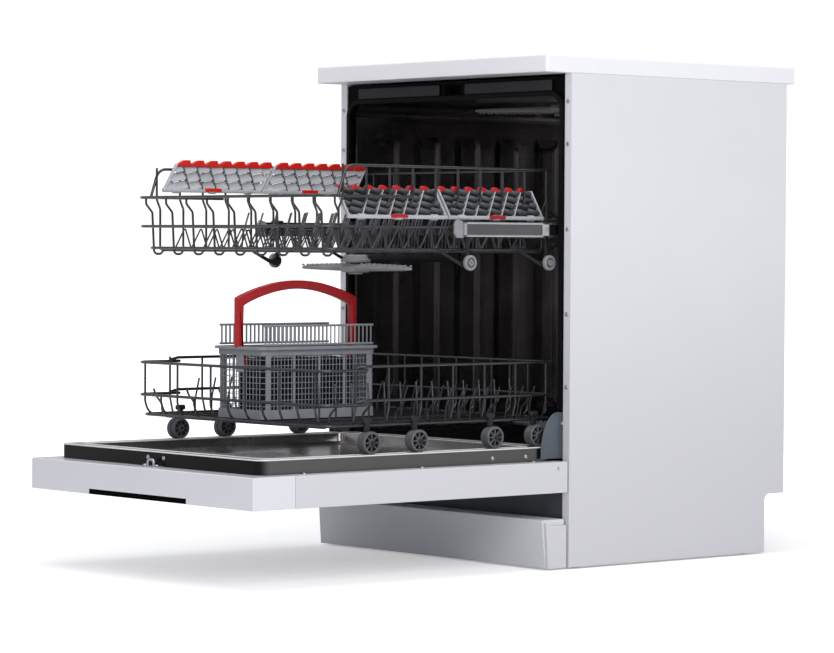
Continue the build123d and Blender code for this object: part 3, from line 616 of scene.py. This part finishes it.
settle(merged("lower_rack_wires", [
    wires("rims", rim(LOW_RIM) + rim(LOW_MID), RIM_WIRE, 22), wires("base", base_ring, RIM_WIRE, 24, True),
    wires("cross", cross, CROSS_WIRE, 14), wires("long", long, CROSS_WIRE, 20),
    wires("fixed tines", fixed_tines, TINE_WIRE, 10)]),
    "lower_rack", "wire", "lower_rack")

# Wheels: grey moulded wheels with a grooved tyre, a hub and eight spokes before a near-black web,
# which is painted shade between the spokes. Each one turns on an axle beside a fixed guard of the
# same make, which hangs from the rack by a narrow neck.
WHEEL_Y, WHEEL_Z = (-390, -291, -129, -34), 220
WHEEL_X, GUARD_X, AXLE_X, GUARD_SHARE, SPOKES = 257.5, 246.8, 252.5, 0.94, 8
TYRE = [(14, -4.5), (17, -4.5), (18, -3.5), (18, -0.9), (17, -0.5), (17, 0.5), (18, 0.9), (18, 3.5),
        (17, 4.5), (14.6, 4.5), (14, 3.9), (14, -4.5)]
HUB = [(3.2, -4.5), (6, -4.5), (6, 4.2), (5.2, 5.2), (3.2, 5.2), (3.2, -4.5)]
WEB = [(5.5, -2.6), (14.6, -2.6), (14.6, -1.4), (5.5, -1.4), (5.5, -2.6)]
AXLE = [(0, -6), (3, -6), (3, 11.5), (4.6, 11.5), (4.6, 13), (3.6, 14), (0, 14)]


def copies_tree():
    """Puts one object at every point, turned by the point's own rotation."""
    tree, given = tree_with("copies", Piece="Object", Material="Material")
    piece = add_node(tree, "GeometryNodeObjectInfo", {}, {"Object": given["Piece"]}, "Geometry")
    turn = add_node(tree, "GeometryNodeInputNamedAttribute", {"data_type": "FLOAT_VECTOR"},
                    {"Name": "turn"}, "Attribute")
    place = add_node(tree, "GeometryNodeInstanceOnPoints", {}, {
        "Points": given["Geometry"], "Instance": piece, "Rotation": turn}, "Instances")
    return close_tree(tree, place, given["Material"])


COPIES = copies_tree()


def copies(name, piece, places, finish):
    """Copies of a piece at (point, rotation) places, as one mesh; the pattern piece is removed."""
    obj = new_mesh(name, [p for p, _ in places])
    turn = obj.data.attributes.new("turn", "FLOAT_VECTOR", "POINT")
    for value, (_, r) in zip(turn.data, places):
        value.vector = r
    grown(obj, COPIES, Piece=piece, Material=finishes[finish])
    bpy.data.objects.remove(piece)
    return obj


def turned(name, outline, sides=24):
    """A solid of revolution about Z from (radius, height) points in millimetres. An outline that
    ends at its first point makes a ring."""
    verts, faces, rows = [], [], []
    for number, (r, z) in enumerate(outline):
        if number and (r, z) == outline[0] and r:
            rows.append(rows[0])
        elif r == 0:
            verts.append((0, 0, z * MM))
            rows.append([len(verts) - 1])
        else:
            rows.append(list(range(len(verts), len(verts) + sides)))
            verts += [(r * MM * math.cos(a), r * MM * math.sin(a), z * MM)
                      for a in (2 * math.pi * i / sides for i in range(sides))]
    for low, high in zip(rows, rows[1:]):
        for i in range(sides):
            j = (i + 1) % sides
            if len(low) == 1:
                faces.append((low[0], high[j], high[i]))
            elif len(high) == 1:
                faces.append((low[i], low[j], high[0]))
            else:
                faces.append((low[i], low[j], high[j], high[i]))
    return smoothed(rounded(new_mesh(name, verts, faces=faces), 0))


def placed(obj, point, angle=0.0, axis="Z"):
    """Turns a piece about an axis and moves it to a point, in its mesh."""
    obj.data.transform(Matrix.Translation(point) @ Matrix.Rotation(angle, 4, axis))
    return obj


def local(obj):
    """Moves a piece drawn about the cabinet's front edge to the origin, for copying."""
    return placed(obj, (0, -FRONT, 0))


def spoked(name):
    """One wheel about Z, its outer face up."""
    parts = [turned("tyre", TYRE, 40), turned("hub", HUB, 24)]
    for turn in range(SPOKES):
        spoke = local(block("spoke", 5, 15, -0.9, 0.9, -3.4, 3.6, 0.4))
        parts.append(placed(spoke, (0, 0, 0), math.radians(360 / SPOKES * turn)))
    return merged(name, parts)


add_finish("wheel", moulded("wheel plastic", (0.105, 0.11, 0.12), 0.42))
add_finish("bracket", moulded("bracket plastic", (0.016, 0.017, 0.019), 0.42, 1400, 0.00005, 0.05, 0.35),
           "wheel")
necks = []
for s in (-1, 1):
    for y in WHEEL_Y:
        necks.append(block("neck", s * 245, s * 250, y - 5, y + 5, 233, 255, 1.5))
        necks.append(block("clip", s * 243, s * 251.6, y - 9, y + 9, 251, 260, 3))
        necks.append(placed(turned("axle", AXLE, 16), at(s * AXLE_X, y, WHEEL_Z), s * math.pi / 2, "Y"))
settle(merged("wheel_necks", necks), "lower_rack", "bracket")
guard = spoked("guard")
guard.data.transform(Matrix.Scale(GUARD_SHARE, 4))
inside = [(at(s * GUARD_X, y, WHEEL_Z), (0, -s * math.pi / 2, 0)) for s in (-1, 1) for y in WHEEL_Y]
settle(copies("wheel_guards", guard, inside, "wheel"), "lower_rack", "wheel")
for number, y in enumerate(WHEEL_Y, 1):
    ends = [(at(s * WHEEL_X, y, WHEEL_Z), (0, s * math.pi / 2, 0)) for s in (-1, 1)]
    body = f"wheels_{number}"
    settle(copies(f"wheel_pair_{number}", spoked("wheel"), ends, "wheel"), body, "wheel", body)
    # The webs are near-black: painted shade seen between the spokes.
    settle(copies(f"wheel_webs_{number}", turned("web", WEB, 32), ends, "black"), body, "black")

# Folding tine rows: a coated bar with bent prongs on each side of the lower rack, which turns in
# clips on the floor wires.
TINE_Z, TINE_X = 252.1, 165
for side, s in (("left", -1), ("right", 1)):
    x = s * TINE_X
    prongs = [[at(x, y, TINE_Z), at(x, y, TINE_Z + 22), at(x - s * 7, y + 3, TINE_Z + 57)]
              for y in steps(-420, -10, 13)]
    bar = [[at(x, -430, TINE_Z), at(x, 0, TINE_Z)]]
    settle(merged(f"tine_row_{side}", [wires("prongs", prongs, 1.6, 12), wires("bar", bar, 2.2)]),
           f"tines_{side}", "wire", f"tines_{side}")

# Upper rack: coated wire like the lower one, with a low front, tall sides joined round the back,
# kinked uprights, rows of peaked wires and short prongs between them.
UP_FRONT, UP_REAR = -481, 16
UP_FLOOR, UP_MID, UP_FRONT_RIM, UP_RIM = 521, 561, 609, 657
TALL_FRONT, TALL_BEND, SIDE_END = -452, -436, -300
tall = mirrored([(RACK_X, TALL_FRONT, UP_FRONT_RIM), (RACK_X, TALL_BEND, UP_RIM), (RACK_X, UP_REAR, UP_RIM)])
low_front = mirrored([(RACK_X, SIDE_END, UP_FRONT_RIM), (RACK_X, UP_FRONT, UP_FRONT_RIM)])
rings = [level_ring(RACK_X, UP_FRONT, UP_REAR, UP_MID),
         level_ring(RACK_X - 8, UP_FRONT + 14, UP_REAR - 6, UP_FLOOR + 4)]
kinked_side = ((RACK_X - 2, UP_RIM + 2), (RACK_X - 2, 606), (RACK_X - 12, 590), (RACK_X - 12, UP_FLOOR))
cross = [bridge(y, kinked_side) for y in steps(UP_FRONT + 40, UP_REAR - 24, 10)]
looped = ((UP_REAR - 2, UP_RIM + 1), (UP_REAR - 2, UP_FLOOR + 4), (-440, UP_FLOOR + 4),
          (-448, UP_FLOOR - 6), (-462, UP_FLOOR - 6), (-466, 584), (UP_FRONT + 2, 598),
          (UP_FRONT + 2, UP_FRONT_RIM + 2))
long = [[at(x, y, z) for y, z in looped] for x in steps(-RACK_X + 24, RACK_X - 24, 9)]
peaks = []
for x in (-196, -118, -40, 40, 118, 196):
    peaks.append([at(x + (5 if number % 2 else 0), y, UP_FLOOR + (38 if number % 2 else 3))
                  for number, y in enumerate(steps(-440, -4, 27))])
prongs = [[at(x, y, UP_FLOOR + 2), at(x, y + 3, UP_FLOOR + 30), at(x, y + 15, UP_FLOOR + 64)]
          for x in (-157, -79, 1, 79, 157) for y in steps(-330, -30, 11)]
settle(merged("upper_rack_wires", [
    wires("rims", [tall, low_front], 2.4, 20), wires("rings", rings, 2.3, 24, True),
    wires("cross", cross, CROSS_WIRE, 9), wires("long", long, CROSS_WIRE, 7),
    wires("peaks", peaks, 1.4, 2), wires("prongs", prongs, TINE_WIRE, 14)]),
    "upper_rack", "wire", "upper_rack")

# Fittings under the upper rack: dark moulded runner brackets, legs and slim hangers, grey rollers,
# and the water pipe that ends in the spray arm's holder.
ARM_Y, ROLLER_Y, ROLLER_Z = -211, (-182, -8), 504
HANGER = ((-58, 524), (-57, 519), (-14, 498), (0, 495), (8, 499), (8, 508), (-2, 511), (-14, 505))
ROLLER = [(0, 0), (11.5, 0), (12.5, 1), (12.5, 6), (11.6, 7), (8.8, 7), (8.2, 1.5), (4.8, 1.5),
          (4.4, 7.4), (2.4, 7.4), (2.2, 5), (0, 5)]
POST = [(0, 483), (12, 483), (12, 485.6), (6, 486), (6, 502), (24, 503), (25, 505), (25, 508), (21, 509),
        (21, 514), (18, 515.5), (0, 515.5)]
add_finish("greyplastic", moulded("grey plastic", (0.30, 0.305, 0.32), 0.5))
brackets, rollers = [], []
for s in (-1, 1):
    for y in ROLLER_Y:
        brackets.append(block("bracket", s * 246, s * 253, y - 12, y + 12, 548, 573, 2))
        brackets.append(block("runner", s * 252, s * 260.8, y - 9, y + 9, 551, 565, 1.5))
        brackets.append(block("leg", s * 247, s * 250.5, y - 3.5, y + 3.5, 506, 549, 1))
        hanger = [(y + along, z) for along, z in HANGER]
        brackets.append(plate("hanger", hanger, "x", s * 247, s * 251, 1))
        roller = turned("roller", ROLLER, 32)
        rollers.append(placed(roller, at(s * 252, y, ROLLER_Z), s * math.pi / 2, "Y"))
pipe = [[at(0, ARM_Y, 510.4), at(0, 14, 510.4)]]
brackets.append(wires("pipe", pipe, 7, 2, sides=20, finish="bracket"))
rollers.append(placed(turned("post", POST, 36), at(0, ARM_Y, 0)))
settle(merged("upper_rack_brackets", brackets), "upper_rack", "bracket")
settle(merged("upper_rack_rollers", rollers), "upper_rack", "greyplastic")

# Cup shelves: four moulded flaps clipped to the rack's sides. Each has rows of sloping louvres cut
# by ribs that lean the other way, and thick red caps along the top. The left pair leans back and
# the right pair forward. The ribs of the left pair and the louvres of the right pair are dark grey,
# painted shade for the gaps between them, and the left pair's caps are a lighter red, painted light.
SHELF_LEN, SHELF_TALL, SHELF_LEAN, CELLS = 208, 51, 30, 7
SHELF_X, SHELF_PITCH, RIB_SLANT = 240.3, 28, 0.6
LEFT_ROWS, RIGHT_ROWS = (8.5, 23, 37.5), (9, 19.4, 29.8, 40.2)
BACK_TEETH = ((0, 0), (0.2, 3), (0.46, 6.2), (0.86, 6.4), (0.93, 1), (1.0, -1.4), (1.0, -4.4), (0, -4.4))
FORWARD_TEETH = ((0.04, -2.4), (0.1, 2.6), (0.2, 5), (0.34, 5), (0.6, 2), (0.6, -2.4))
CLIP = [(0, -7), (4.4, -7), (5.1, -6), (5.1, 6), (4.4, 7), (0, 7)]


def cup_shelf(s, y, z, lean):
    """The grey body, the louvres, the ribs and the red caps of one shelf, its rail centred at y."""
    start, rise = y - SHELF_LEN / 2, math.copysign(5, lean)
    rows, taller, teeth = (LEFT_ROWS, 2.2, BACK_TEETH) if s < 0 else (RIGHT_ROWS, 0, FORWARD_TEETH)
    middle = s * SHELF_X
    grey, louvres, ribs, red = [], [], [], []

    def across(half):
        """Both faces of a piece that is as thick on either side of the shelf's middle."""
        return middle - half, middle + half

    def skew(h):
        """Both ends of the shelf at a height above its rail."""
        return start + 3 + lean * h / SHELF_TALL, start + SHELF_LEN - 3 + lean * h / SHELF_TALL

    def borders(h):
        """Places of the ribs at a height, from end to end."""
        first, last = skew(h)
        between = [start + SHELF_PITCH * i - RIB_SLANT * lean * h / SHELF_TALL for i in range(-3, 12)]
        return [first] + [v for v in between if first + 5 < v < last - 5] + [last]

    grey.append(block("rail", *across(3.3), start, start + SHELF_LEN, z - 3.3, z + 3.3, 1.6))
    for v in (start + 28, y, start + SHELF_LEN - 28):
        grey.append(placed(turned("clip", CLIP, 20), at(middle, v, z), math.pi / 2, "X"))
    edge_top = SHELF_TALL - 6
    for low, high in zip(skew(0), skew(edge_top)):
        edge = [(low - 1.8, z), (low + 1.8, z), (high + 1.8, z + edge_top), (high - 1.8, z + edge_top)]
        grey.append(plate("edge", edge, "x", *across(3.4), 0.8))
    for h in rows:
        spots = borders(h)
        for v, w in zip(spots, spots[1:]):
            tilt = rise * (w - v) / SHELF_PITCH
            face, back = s * (SHELF_X + 2.9), s * (SHELF_X - 2.9)
            rings = []
            for a, b in ((v + 1.1, z + h - tilt / 2), (w - 1.1, z + h + tilt / 2)):
                rings.append([at(face, a, b + 3.2 + taller), at(face, a, b + 5 + taller),
                              at(back, a, b - 3 - taller), at(back, a, b - 4.8 - taller)])
            louvres.append(lofted("louvre", rings, "capped"))
    rib_top = SHELF_TALL - 7
    reach = -RIB_SLANT * lean * (rib_top - 3) / SHELF_TALL
    ends = skew(rib_top)
    for low in borders(3)[1:-1]:
        high = low + reach
        if ends[0] < high < ends[1]:
            rib = [(low - 1, z + 2), (low + 1, z + 2), (high + 1, z + rib_top), (high - 1, z + rib_top)]
            ribs.append(plate("rib", rib, "x", *across(3.2), 0.5))
    first, last = skew(SHELF_TALL - 4)
    pitch = (last - first) / CELLS
    for number in range(CELLS):
        v = first + pitch * number
        cap = [(v + a * pitch, z + SHELF_TALL - 6 + b) for a, b in teeth]
        red.append(plate("cap", cap, "x", *across(3.6), 0.9))
    red.append(block("mark", *across(5.3), y - 17, y + 17, z - 1.6, z + 4.4, 0.9))
    return grey, louvres, ribs, red


add_finish("shelf", moulded("shelf plastic", (0.50, 0.51, 0.54), 0.4))
add_finish("red", enamel("red plastic", (0.44, 0.003, 0.006), 0.3, 0.1))
# A lighter copy of the red plastic, used on the left pair's caps: painted light.
add_finish("cap", enamel("red caps painted lighter", (0.72, 0.016, 0.008), 0.35, 0.1), "red")
for side, s, z, lean, places in (("left", -1, 622, SHELF_LEAN, (-330, -120)),
                                 ("right", 1, 577, -SHELF_LEAN, (-322, -112))):
    for place, y in zip(("front", "rear"), places):
        body = f"shelf_{side}_{place}"
        grey, louvres, ribs, red = cup_shelf(s, y, z, lean)
        # Painted shade: on each shelf one set, the ribs on the left and the louvres on the right, is dark
        # grey for the gaps between them.
        light, painted_shade_pieces = (louvres, ribs) if s < 0 else (ribs, louvres)
        settle(merged(f"cup_{body}", grey + light), body, "shelf", body)
        settle(merged(f"cells_{body}", painted_shade_pieces), body, "wheel")
        # The left pair's caps take the lighter red, as painted light.
        settle(merged(f"caps_{body}", red), body, "cap" if s < 0 else "red")

# Cutlery basket: grey moulding with thin bars between solid bands, thicker posts, partitions and a
# lipped rim. The partitions are a near-black copy of the basket plastic, painted shade inside the
# basket. A smooth red arch is the handle, and slatted lids stand along both sides.
BX0, BX1, BY0, BY1 = -69, 53, -448, -211
BASKET_LOW, BASKET_RIM = 249, 366
HANDLE_X = -8
BAR, LIP_OUT, LIP_THICK = 0.5, 6.5, 9
PARTITION_TOP = BASKET_RIM - 20
LEG0, LEG1, LEG_WIDE, HANDLE_LOW, HANDLE_STEP = -455.5, -205.5, 11, 326, 362


def band(low, high, out=0.0, thick=2.4):
    """A rounded ring of plate round the basket."""
    def ring(inset, z):
        grow = out - inset
        return round_box(BX0 - grow, BX1 + grow, BY0 - grow, BY1 + grow, 8 + grow, z, 6)
    return lofted("band", [ring(0, low), ring(0, high), ring(thick, high), ring(thick, low)])


def arc(start, end, low, tall):
    """The arch's curve from one leg to the other, as (y, z) points."""
    return [(start + (end - start) * t, low + tall * math.sin(math.pi * t) ** 0.85) for t in steps(0, 1, 31)]


add_finish("basket", moulded("basket plastic", (0.26, 0.275, 0.30), 0.45))
# The partitions take a near-black copy of the basket plastic: painted shade inside the basket.
add_finish("divider", moulded("divider plastic painted shade", (0.010, 0.012, 0.019), 0.5, 1400, 0.00005, 0.05, 0.2),
           "basket")
upright = local(block("upright", -BAR, BAR, -BAR, BAR, BASKET_LOW + 10, BASKET_RIM - 8, 0.0))
bars = [(at(x, y, 0), (0, 0, 0)) for x in (BX0 + 1.2, BX1 - 1.2) for y in steps(BY0 + 18, BY1 - 18, 29)]
bars += [(at(x, y, 0), (0, 0, 0)) for x in steps(BX0 + 8, BX1 - 8, 13) for y in (BY0 + 1.2, BY1 - 1.2)]
mesh_bars = copies("bars", upright, bars, "basket")
hoop = ((BX0 + 1.2, BY0 + 1.2), (BX1 - 1.2, BY0 + 1.2), (BX1 - 1.2, BY1 - 1.2), (BX0 + 1.2, BY1 - 1.2))
hoops = [[at(x, y, z) for x, y in hoop] for z in steps(BASKET_LOW + 21, BASKET_RIM - 21, 9)]
solid = [band(BASKET_LOW, BASKET_LOW + 15), band(BASKET_RIM - 14, BASKET_RIM - 1),
         band(BASKET_RIM - 4.5, BASKET_RIM, LIP_OUT, LIP_THICK)]
solid.append(block("floor", BX0 + 2, BX1 - 2, BY0 + 2, BY1 - 2, BASKET_LOW + 1, BASKET_LOW + 3.5, 0.5))
for x in (BX0 + 0.1, BX1 - 2.5):
    for y in (BY0 + 8, BY1 - 18):
        solid.append(block("corner", x, x + 2.4, y, y + 10, BASKET_LOW + 8, BASKET_RIM - 8, 0.4))
    for y in steps(BY0 + 66, BY1 - 66, 3):
        solid.append(block("post", x - 0.2, x + 2.6, y - 1.8, y + 1.8, BASKET_LOW + 8, BASKET_RIM - 8, 0.4))
for y in (BY0 + 0.2, BY1 - 2.6):
    solid.append(block("socket", HANDLE_X - 10, HANDLE_X + 10, y, y + 2.4, BASKET_RIM - 42, BASKET_RIM - 6,
                       0.8))
settle(merged("cutlery_basket", solid + [mesh_bars, wires("hoops", hoops, 0.6, 8, True, 6, "basket")]),
       "basket", "basket", "basket_body")
dividers = [block("divider", BX0 + 2.6, BX1 - 2.6, y - 0.9, y + 0.9, BASKET_LOW + 3, PARTITION_TOP, 0.4)
            for y in (BY0 + 79, BY1 - 79)]
for low, high in ((BY0 + 14, BY0 + 77), (BY0 + 81, BY1 - 81), (BY1 - 77, BY1 - 14)):
    for x in (-28, 12):
        dividers.append(block("divider", x - 0.9, x + 0.9, low, high, BASKET_LOW + 3, PARTITION_TOP, 0.4))
settle(merged("basket_dividers", dividers), "basket", "divider")

outer = arc(LEG0, LEG1, 445, 28)
inner = arc(LEG0 + 13, LEG1 - 13, 432, 27)
near_leg = [(-445.5, HANDLE_LOW), (-445.5, HANDLE_STEP), (LEG0, 364)]
far_leg = [(LEG1, 364), (-213.5, HANDLE_STEP), (-213.5, HANDLE_LOW), (-225, HANDLE_LOW),
           (-225, HANDLE_STEP), (LEG1 - LEG_WIDE, 364)]
near_inside = [(LEG0 + LEG_WIDE, 364), (-434, HANDLE_STEP), (-434, HANDLE_LOW)]
arch = near_leg + outer + far_leg + inner[::-1] + near_inside
settle(plate("basket_handle_arch", arch, "x", HANDLE_X - 6, HANDLE_X + 6, 2.2, 3),
       "basket", "red", "basket_handle")
for side, x, thick in (("left", -66, 1.6), ("right", 50, 0.9)):
    slat = block("slat", x - thick, x + thick, -1.1, 1.1, 369, 399.5, 0.4)
    slats = copies("slats", slat, [((0, y * MM, 0), (0, 0, 0)) for y in steps(-440, -219, 27)], "basket")
    rails = [[at(x, -444, z), at(x, -215, z)] for z in (369.4, 400)]
    settle(merged(f"basket_lid_{side}", [slats, wires("rails", rails, 1.9, finish="basket")]),
           f"lid_{side}", "basket", f"lid_{side}")

# Telescopic middle members: bent steel channels that slide in the tub's runners. Each shows a bright
# border round a dark face, a stop block, and a grey plastic hook at its front end.
RAIL_Z, RAIL_FRONT, RAIL_REAR, RAIL_HALF = 558, -202, 228, 12
RAIL_IN, RAIL_OUT = 261.4, 265.8
HOOK = [(-202, 544), (-198, 546), (-199, 552), (-201, 556), (-199, 566), (-202, 571), (-214, 574),
        (-219, 566), (-219, 552), (-214, 544)]
add_finish("chrome", steel("polished rail", (0.86, 0.86, 0.86), 0.2, "y", 0.1))
add_finish("mirror", steel("rail face", (0.24, 0.24, 0.245), 0.12, "y", 0.5), "chrome")
members, faces, hooks = [], [], []
for s in (-1, 1):
    low, high = RAIL_Z - RAIL_HALF, RAIL_Z + RAIL_HALF
    members.append(block("core", s * RAIL_IN, s * 262.6, RAIL_FRONT, RAIL_REAR, low, high, 0.3))
    for z0, z1 in ((low, low + 3.4), (high - 3.4, high)):
        members.append(block("border", s * RAIL_IN, s * RAIL_OUT, RAIL_FRONT, RAIL_REAR, z0, z1, 0.8))
    for y0, y1 in ((RAIL_FRONT, -197), (-32, -17)):
        members.append(block("stop", s * RAIL_IN, s * RAIL_OUT, y0, y1, low, high, 0.8))
    faces.append(block("window", s * 262.4, s * 263.6, -198, 226, RAIL_Z - 9, RAIL_Z + 9, 0.3))
    hooks.append(plate("hook", HOOK, "x", s * 256, s * 261, 1.2))
settle(merged("rail_members", members), "rails_middle", "chrome", "rails_middle")
settle(merged("rail_windows", faces), "rails_middle", "mirror")
settle(merged("rail_hooks", hooks), "rails_middle", "greyplastic")

# Spray arms: three hollow moulded blades that turn on bearings, under the upper rack, over the sump
# and under the ceiling. Each is bowed and thins towards round tips, and has two rows of jets.
BLADE = ((-1, 0), (-0.82, 0.8), (0, 1.15), (0.82, 0.8), (1, 0), (0.82, -0.7), (0, -0.8), (-0.82, -0.7))
JET = [(0, 0), (2.6, 0), (2.2, 2.2), (1.1, 3.0), (0, 3.0)]
JET_ROW, JETS, HUB_CLEAR = 7.5, 21, 32


def spray_arm(label, y, z, reach, turn, hole, up):
    """One arm: its blade turned from the X axis, a hub round the bearing, and jets facing up or
    down."""
    cos, sin = math.cos(math.radians(turn)), math.sin(math.radians(turn))
    rings = []
    for t in steps(-1, 1, 45):
        d = reach * math.sin(math.pi / 2 * t)
        u = abs(d) / reach
        wide = (15 - 4 * u) * max(1 - u ** 8, 0.004) ** 0.5
        tall = (7.0 - 3.4 * u) * max(1 - u ** 16, 0.03) ** 0.5
        rings.append([at(d * cos - e * wide * sin, y + d * sin + e * wide * cos, z + h * tall * up)
                      for e, h in BLADE])
    rim_line = [(hole, -7), (21, -7), (24, -5), (24, 3), (19, 4), (19, 7), (hole, 7), (hole, -7)]
    parts = [lofted("blade", rings, "capped"), placed(turned("hub", rim_line, 36), at(0, y, z))]
    places = []
    for d in steps(-reach + 14, reach - 14, JETS):
        for e in (-JET_ROW, JET_ROW):
            if abs(d) > HUB_CLEAR:
                tall = 6.4 - 3.4 * abs(d) / reach
                places.append((at(d * cos - e * sin, y + d * sin + e * cos, z + tall * up),
                               (0 if up > 0 else math.pi, 0, 0)))
    parts.append(copies("jets", turned("jet", JET, 12), places, "greyplastic"))
    settle(merged(f"spray_{label}", parts), label, "greyplastic", label)


spray_arm("arm_upper", ARM_Y, 493, 178, -9, 6.06, 1)
spray_arm("arm_lower", 255, 212, 215, -20, 6.56, 1)
spray_arm("arm_top", 255, 771.5, 165, 25, 5.06, -1)

# Screws: plated pan heads with a cross recess, along the cabinet's flanges, on the back panel, and
# on the door's pan, sides, striker and inner face.
FORWARD, BACKWARD = (math.pi / 2, 0, 0), (-math.pi / 2, 0, 0)
HEAD_R, CROSS_LONG, CROSS_WIDE = 3.6, 1.8, 0.35
BOX_FACES = [(3, 2, 1, 0), (4, 5, 6, 7), (0, 1, 5, 4), (1, 2, 6, 5), (2, 3, 7, 6), (3, 0, 4, 7)]


def screw_head():
    """A pan head about Z with a cross recess."""
    outline = [(0, 0), (HEAD_R, 0), (HEAD_R, 0.7), (3.0, 1.6), (2.0, 2.1), (0, 2.3)]
    head = turned("head", outline, 24)
    for x, y in ((CROSS_LONG, CROSS_WIDE), (CROSS_WIDE, CROSS_LONG)):
        verts = [(a * x * MM, b * y * MM, c * MM) for c in (1.1, 4)
                 for a, b in ((-1, -1), (1, -1), (1, 1), (-1, 1))]
        cutter = new_mesh("cut", verts, faces=BOX_FACES)
        cut = head.modifiers.new("cut", "BOOLEAN")
        cut.operation = "DIFFERENCE"
        cut.object = cutter
        settled_mesh(head, cut)
        bpy.data.objects.remove(cutter)
    return head


cabinet = [(at(s * 291, -0.2, z), FORWARD) for s in (-1, 1) for z in (300, 420, 560, 700, 770)]
cabinet += [(at(s * 279.4, 0.2, 240), FORWARD) for s in (-1, 1)]
cabinet += [(at(s * 250, 511, z), BACKWARD) for s in (-1, 1) for z in (160, 400, 640, 800)]
settle(copies("cabinet_screw_heads", screw_head(), cabinet, "steel"), "cabinet", "steel", "cabinet_screws")
door = [(at(s * 272, y, 187), (0, s * math.pi / 2, 0)) for s in (-1, 1) for y in (-145, -72)]
door += [(at(s * 296.6, -24, 167), (0, s * math.pi / 2, 0)) for s in (-1, 1)]
door += [(at(x, -620, 192), FORWARD) for x in (-21, 21)]
door += [(at(s * 278, y, 178.1), (0, 0, 0.4)) for s in (-1, 1) for y in (-540, -300, -60)]
door += [(at(x, STRIKER_Y, 179.6), (0, 0, 0.7)) for x in (-16, 16)]
settle(copies("door_screw_heads", screw_head(), door, "steel"), "door", "steel", "door_screws")

# Stage: a pale floor that keeps the soft shadow and turns white away from the machine, and white
# surroundings for the camera with a dimmer sky for the light.
NEAR_WHITE, FAR_WHITE = 0.36, 1.0
FLOOR_HALF = 30


def seen_by_camera(tree, hidden, shown, output):
    """Gives the camera one shader and every other ray another one."""
    camera_ray = add_node(tree, "ShaderNodeLightPath", {}, {}, "Is Camera Ray")
    chosen = add_node(tree, "ShaderNodeMixShader", {}, {0: camera_ray, 1: hidden, 2: shown})
    feed(tree, output.inputs["Surface"], chosen)


corners = [(a * FLOOR_HALF, b * FLOOR_HALF, 0) for a, b in ((-1, -1), (1, -1), (1, 1), (-1, 1))]
floor = new_mesh("floor", corners, faces=[(0, 1, 2, 3)])
paper = Finish("floor_paper")
far = paper.vector_maths("LENGTH", {0: paper.coords}, "Value").ease(0.9, 2.6)
glow = paper.node("ShaderNodeEmission", {}, {"Strength": NEAR_WHITE + far * (FAR_WHITE - NEAR_WHITE)})
matt = Term(paper.tree, paper.shader.outputs[0])
paper.put("Base Color", (0.9, 0.9, 0.9))
paper.put("Roughness", 0.9)
both = paper.node("ShaderNodeAddShader", {}, {0: matt, 1: glow})
seen_by_camera(paper.tree, matt, both, paper.tree.nodes["Material Output"])
floor.data.materials.append(paper.material)

world = bpy.data.worlds.new("surroundings")
bpy.context.scene.world = world
world.use_nodes = True
sky = world.node_tree.nodes["Background"]
feed(world.node_tree, sky.inputs["Color"], (0.93, 0.94, 1.0))
feed(world.node_tree, sky.inputs["Strength"], 0.5)
white = add_node(world.node_tree, "ShaderNodeBackground", {}, {"Color": (1, 1, 1), "Strength": 1.1})
seen_by_camera(world.node_tree, Term(world.node_tree, sky.outputs[0]), white,
               world.node_tree.nodes["World Output"])

# Lights: three large soft boxes. The strongest stands high on the right, a weak one in front, and
# one hangs over the machine.


def soft_light(name, place, aim, size, watts):
    """A large area light aimed at a point."""
    lamp = bpy.data.lights.new(name, "AREA")
    lamp.shape = "RECTANGLE"
    lamp.size, lamp.size_y = size
    lamp.energy = watts
    obj = bpy.data.objects.new(name, lamp)
    obj.location = place
    obj.rotation_mode = "QUATERNION"
    obj.rotation_quaternion = (Vector(aim) - Vector(place)).to_track_quat("-Z", "Y")
    bpy.context.scene.collection.objects.link(obj)


soft_light("key", (3.4, -1.6, 2.5), (0, 0, 0.4), (2.2, 2.0), 68)
soft_light("front", (0.3, -3.8, 1.5), (0, 0, 0.4), (2.2, 1.6), 4)
soft_light("top", (0.3, -0.2, 3.4), (0, 0, 0), (2.4, 2.4), 46)

# Camera: a long lens, level with the lower half of the machine and to the right of the open door,
# as in the photograph.
EYE = Vector((4.2602, FRONT - 3.7131, 0.534))
TURN, TILT, ROLL = math.radians(49.508), math.radians(-1.431), math.radians(0.331)
lens = bpy.data.cameras.new("camera")
camera = bpy.data.objects.new("camera", lens)
bpy.context.scene.collection.objects.link(camera)
bpy.context.scene.camera = camera
lens.sensor_width = 36
lens.sensor_fit = "HORIZONTAL"
lens.lens = 142.6
lens.dof.use_dof = False
lens.clip_end = 100
camera.matrix_world = (Matrix.Translation(EYE) @ Matrix.Rotation(TURN, 4, "Z")
                       @ Matrix.Rotation(math.pi / 2 + TILT, 4, "X") @ Matrix.Rotation(ROLL, 4, "Z"))
bpy.context.scene.view_settings.view_transform = "Standard"
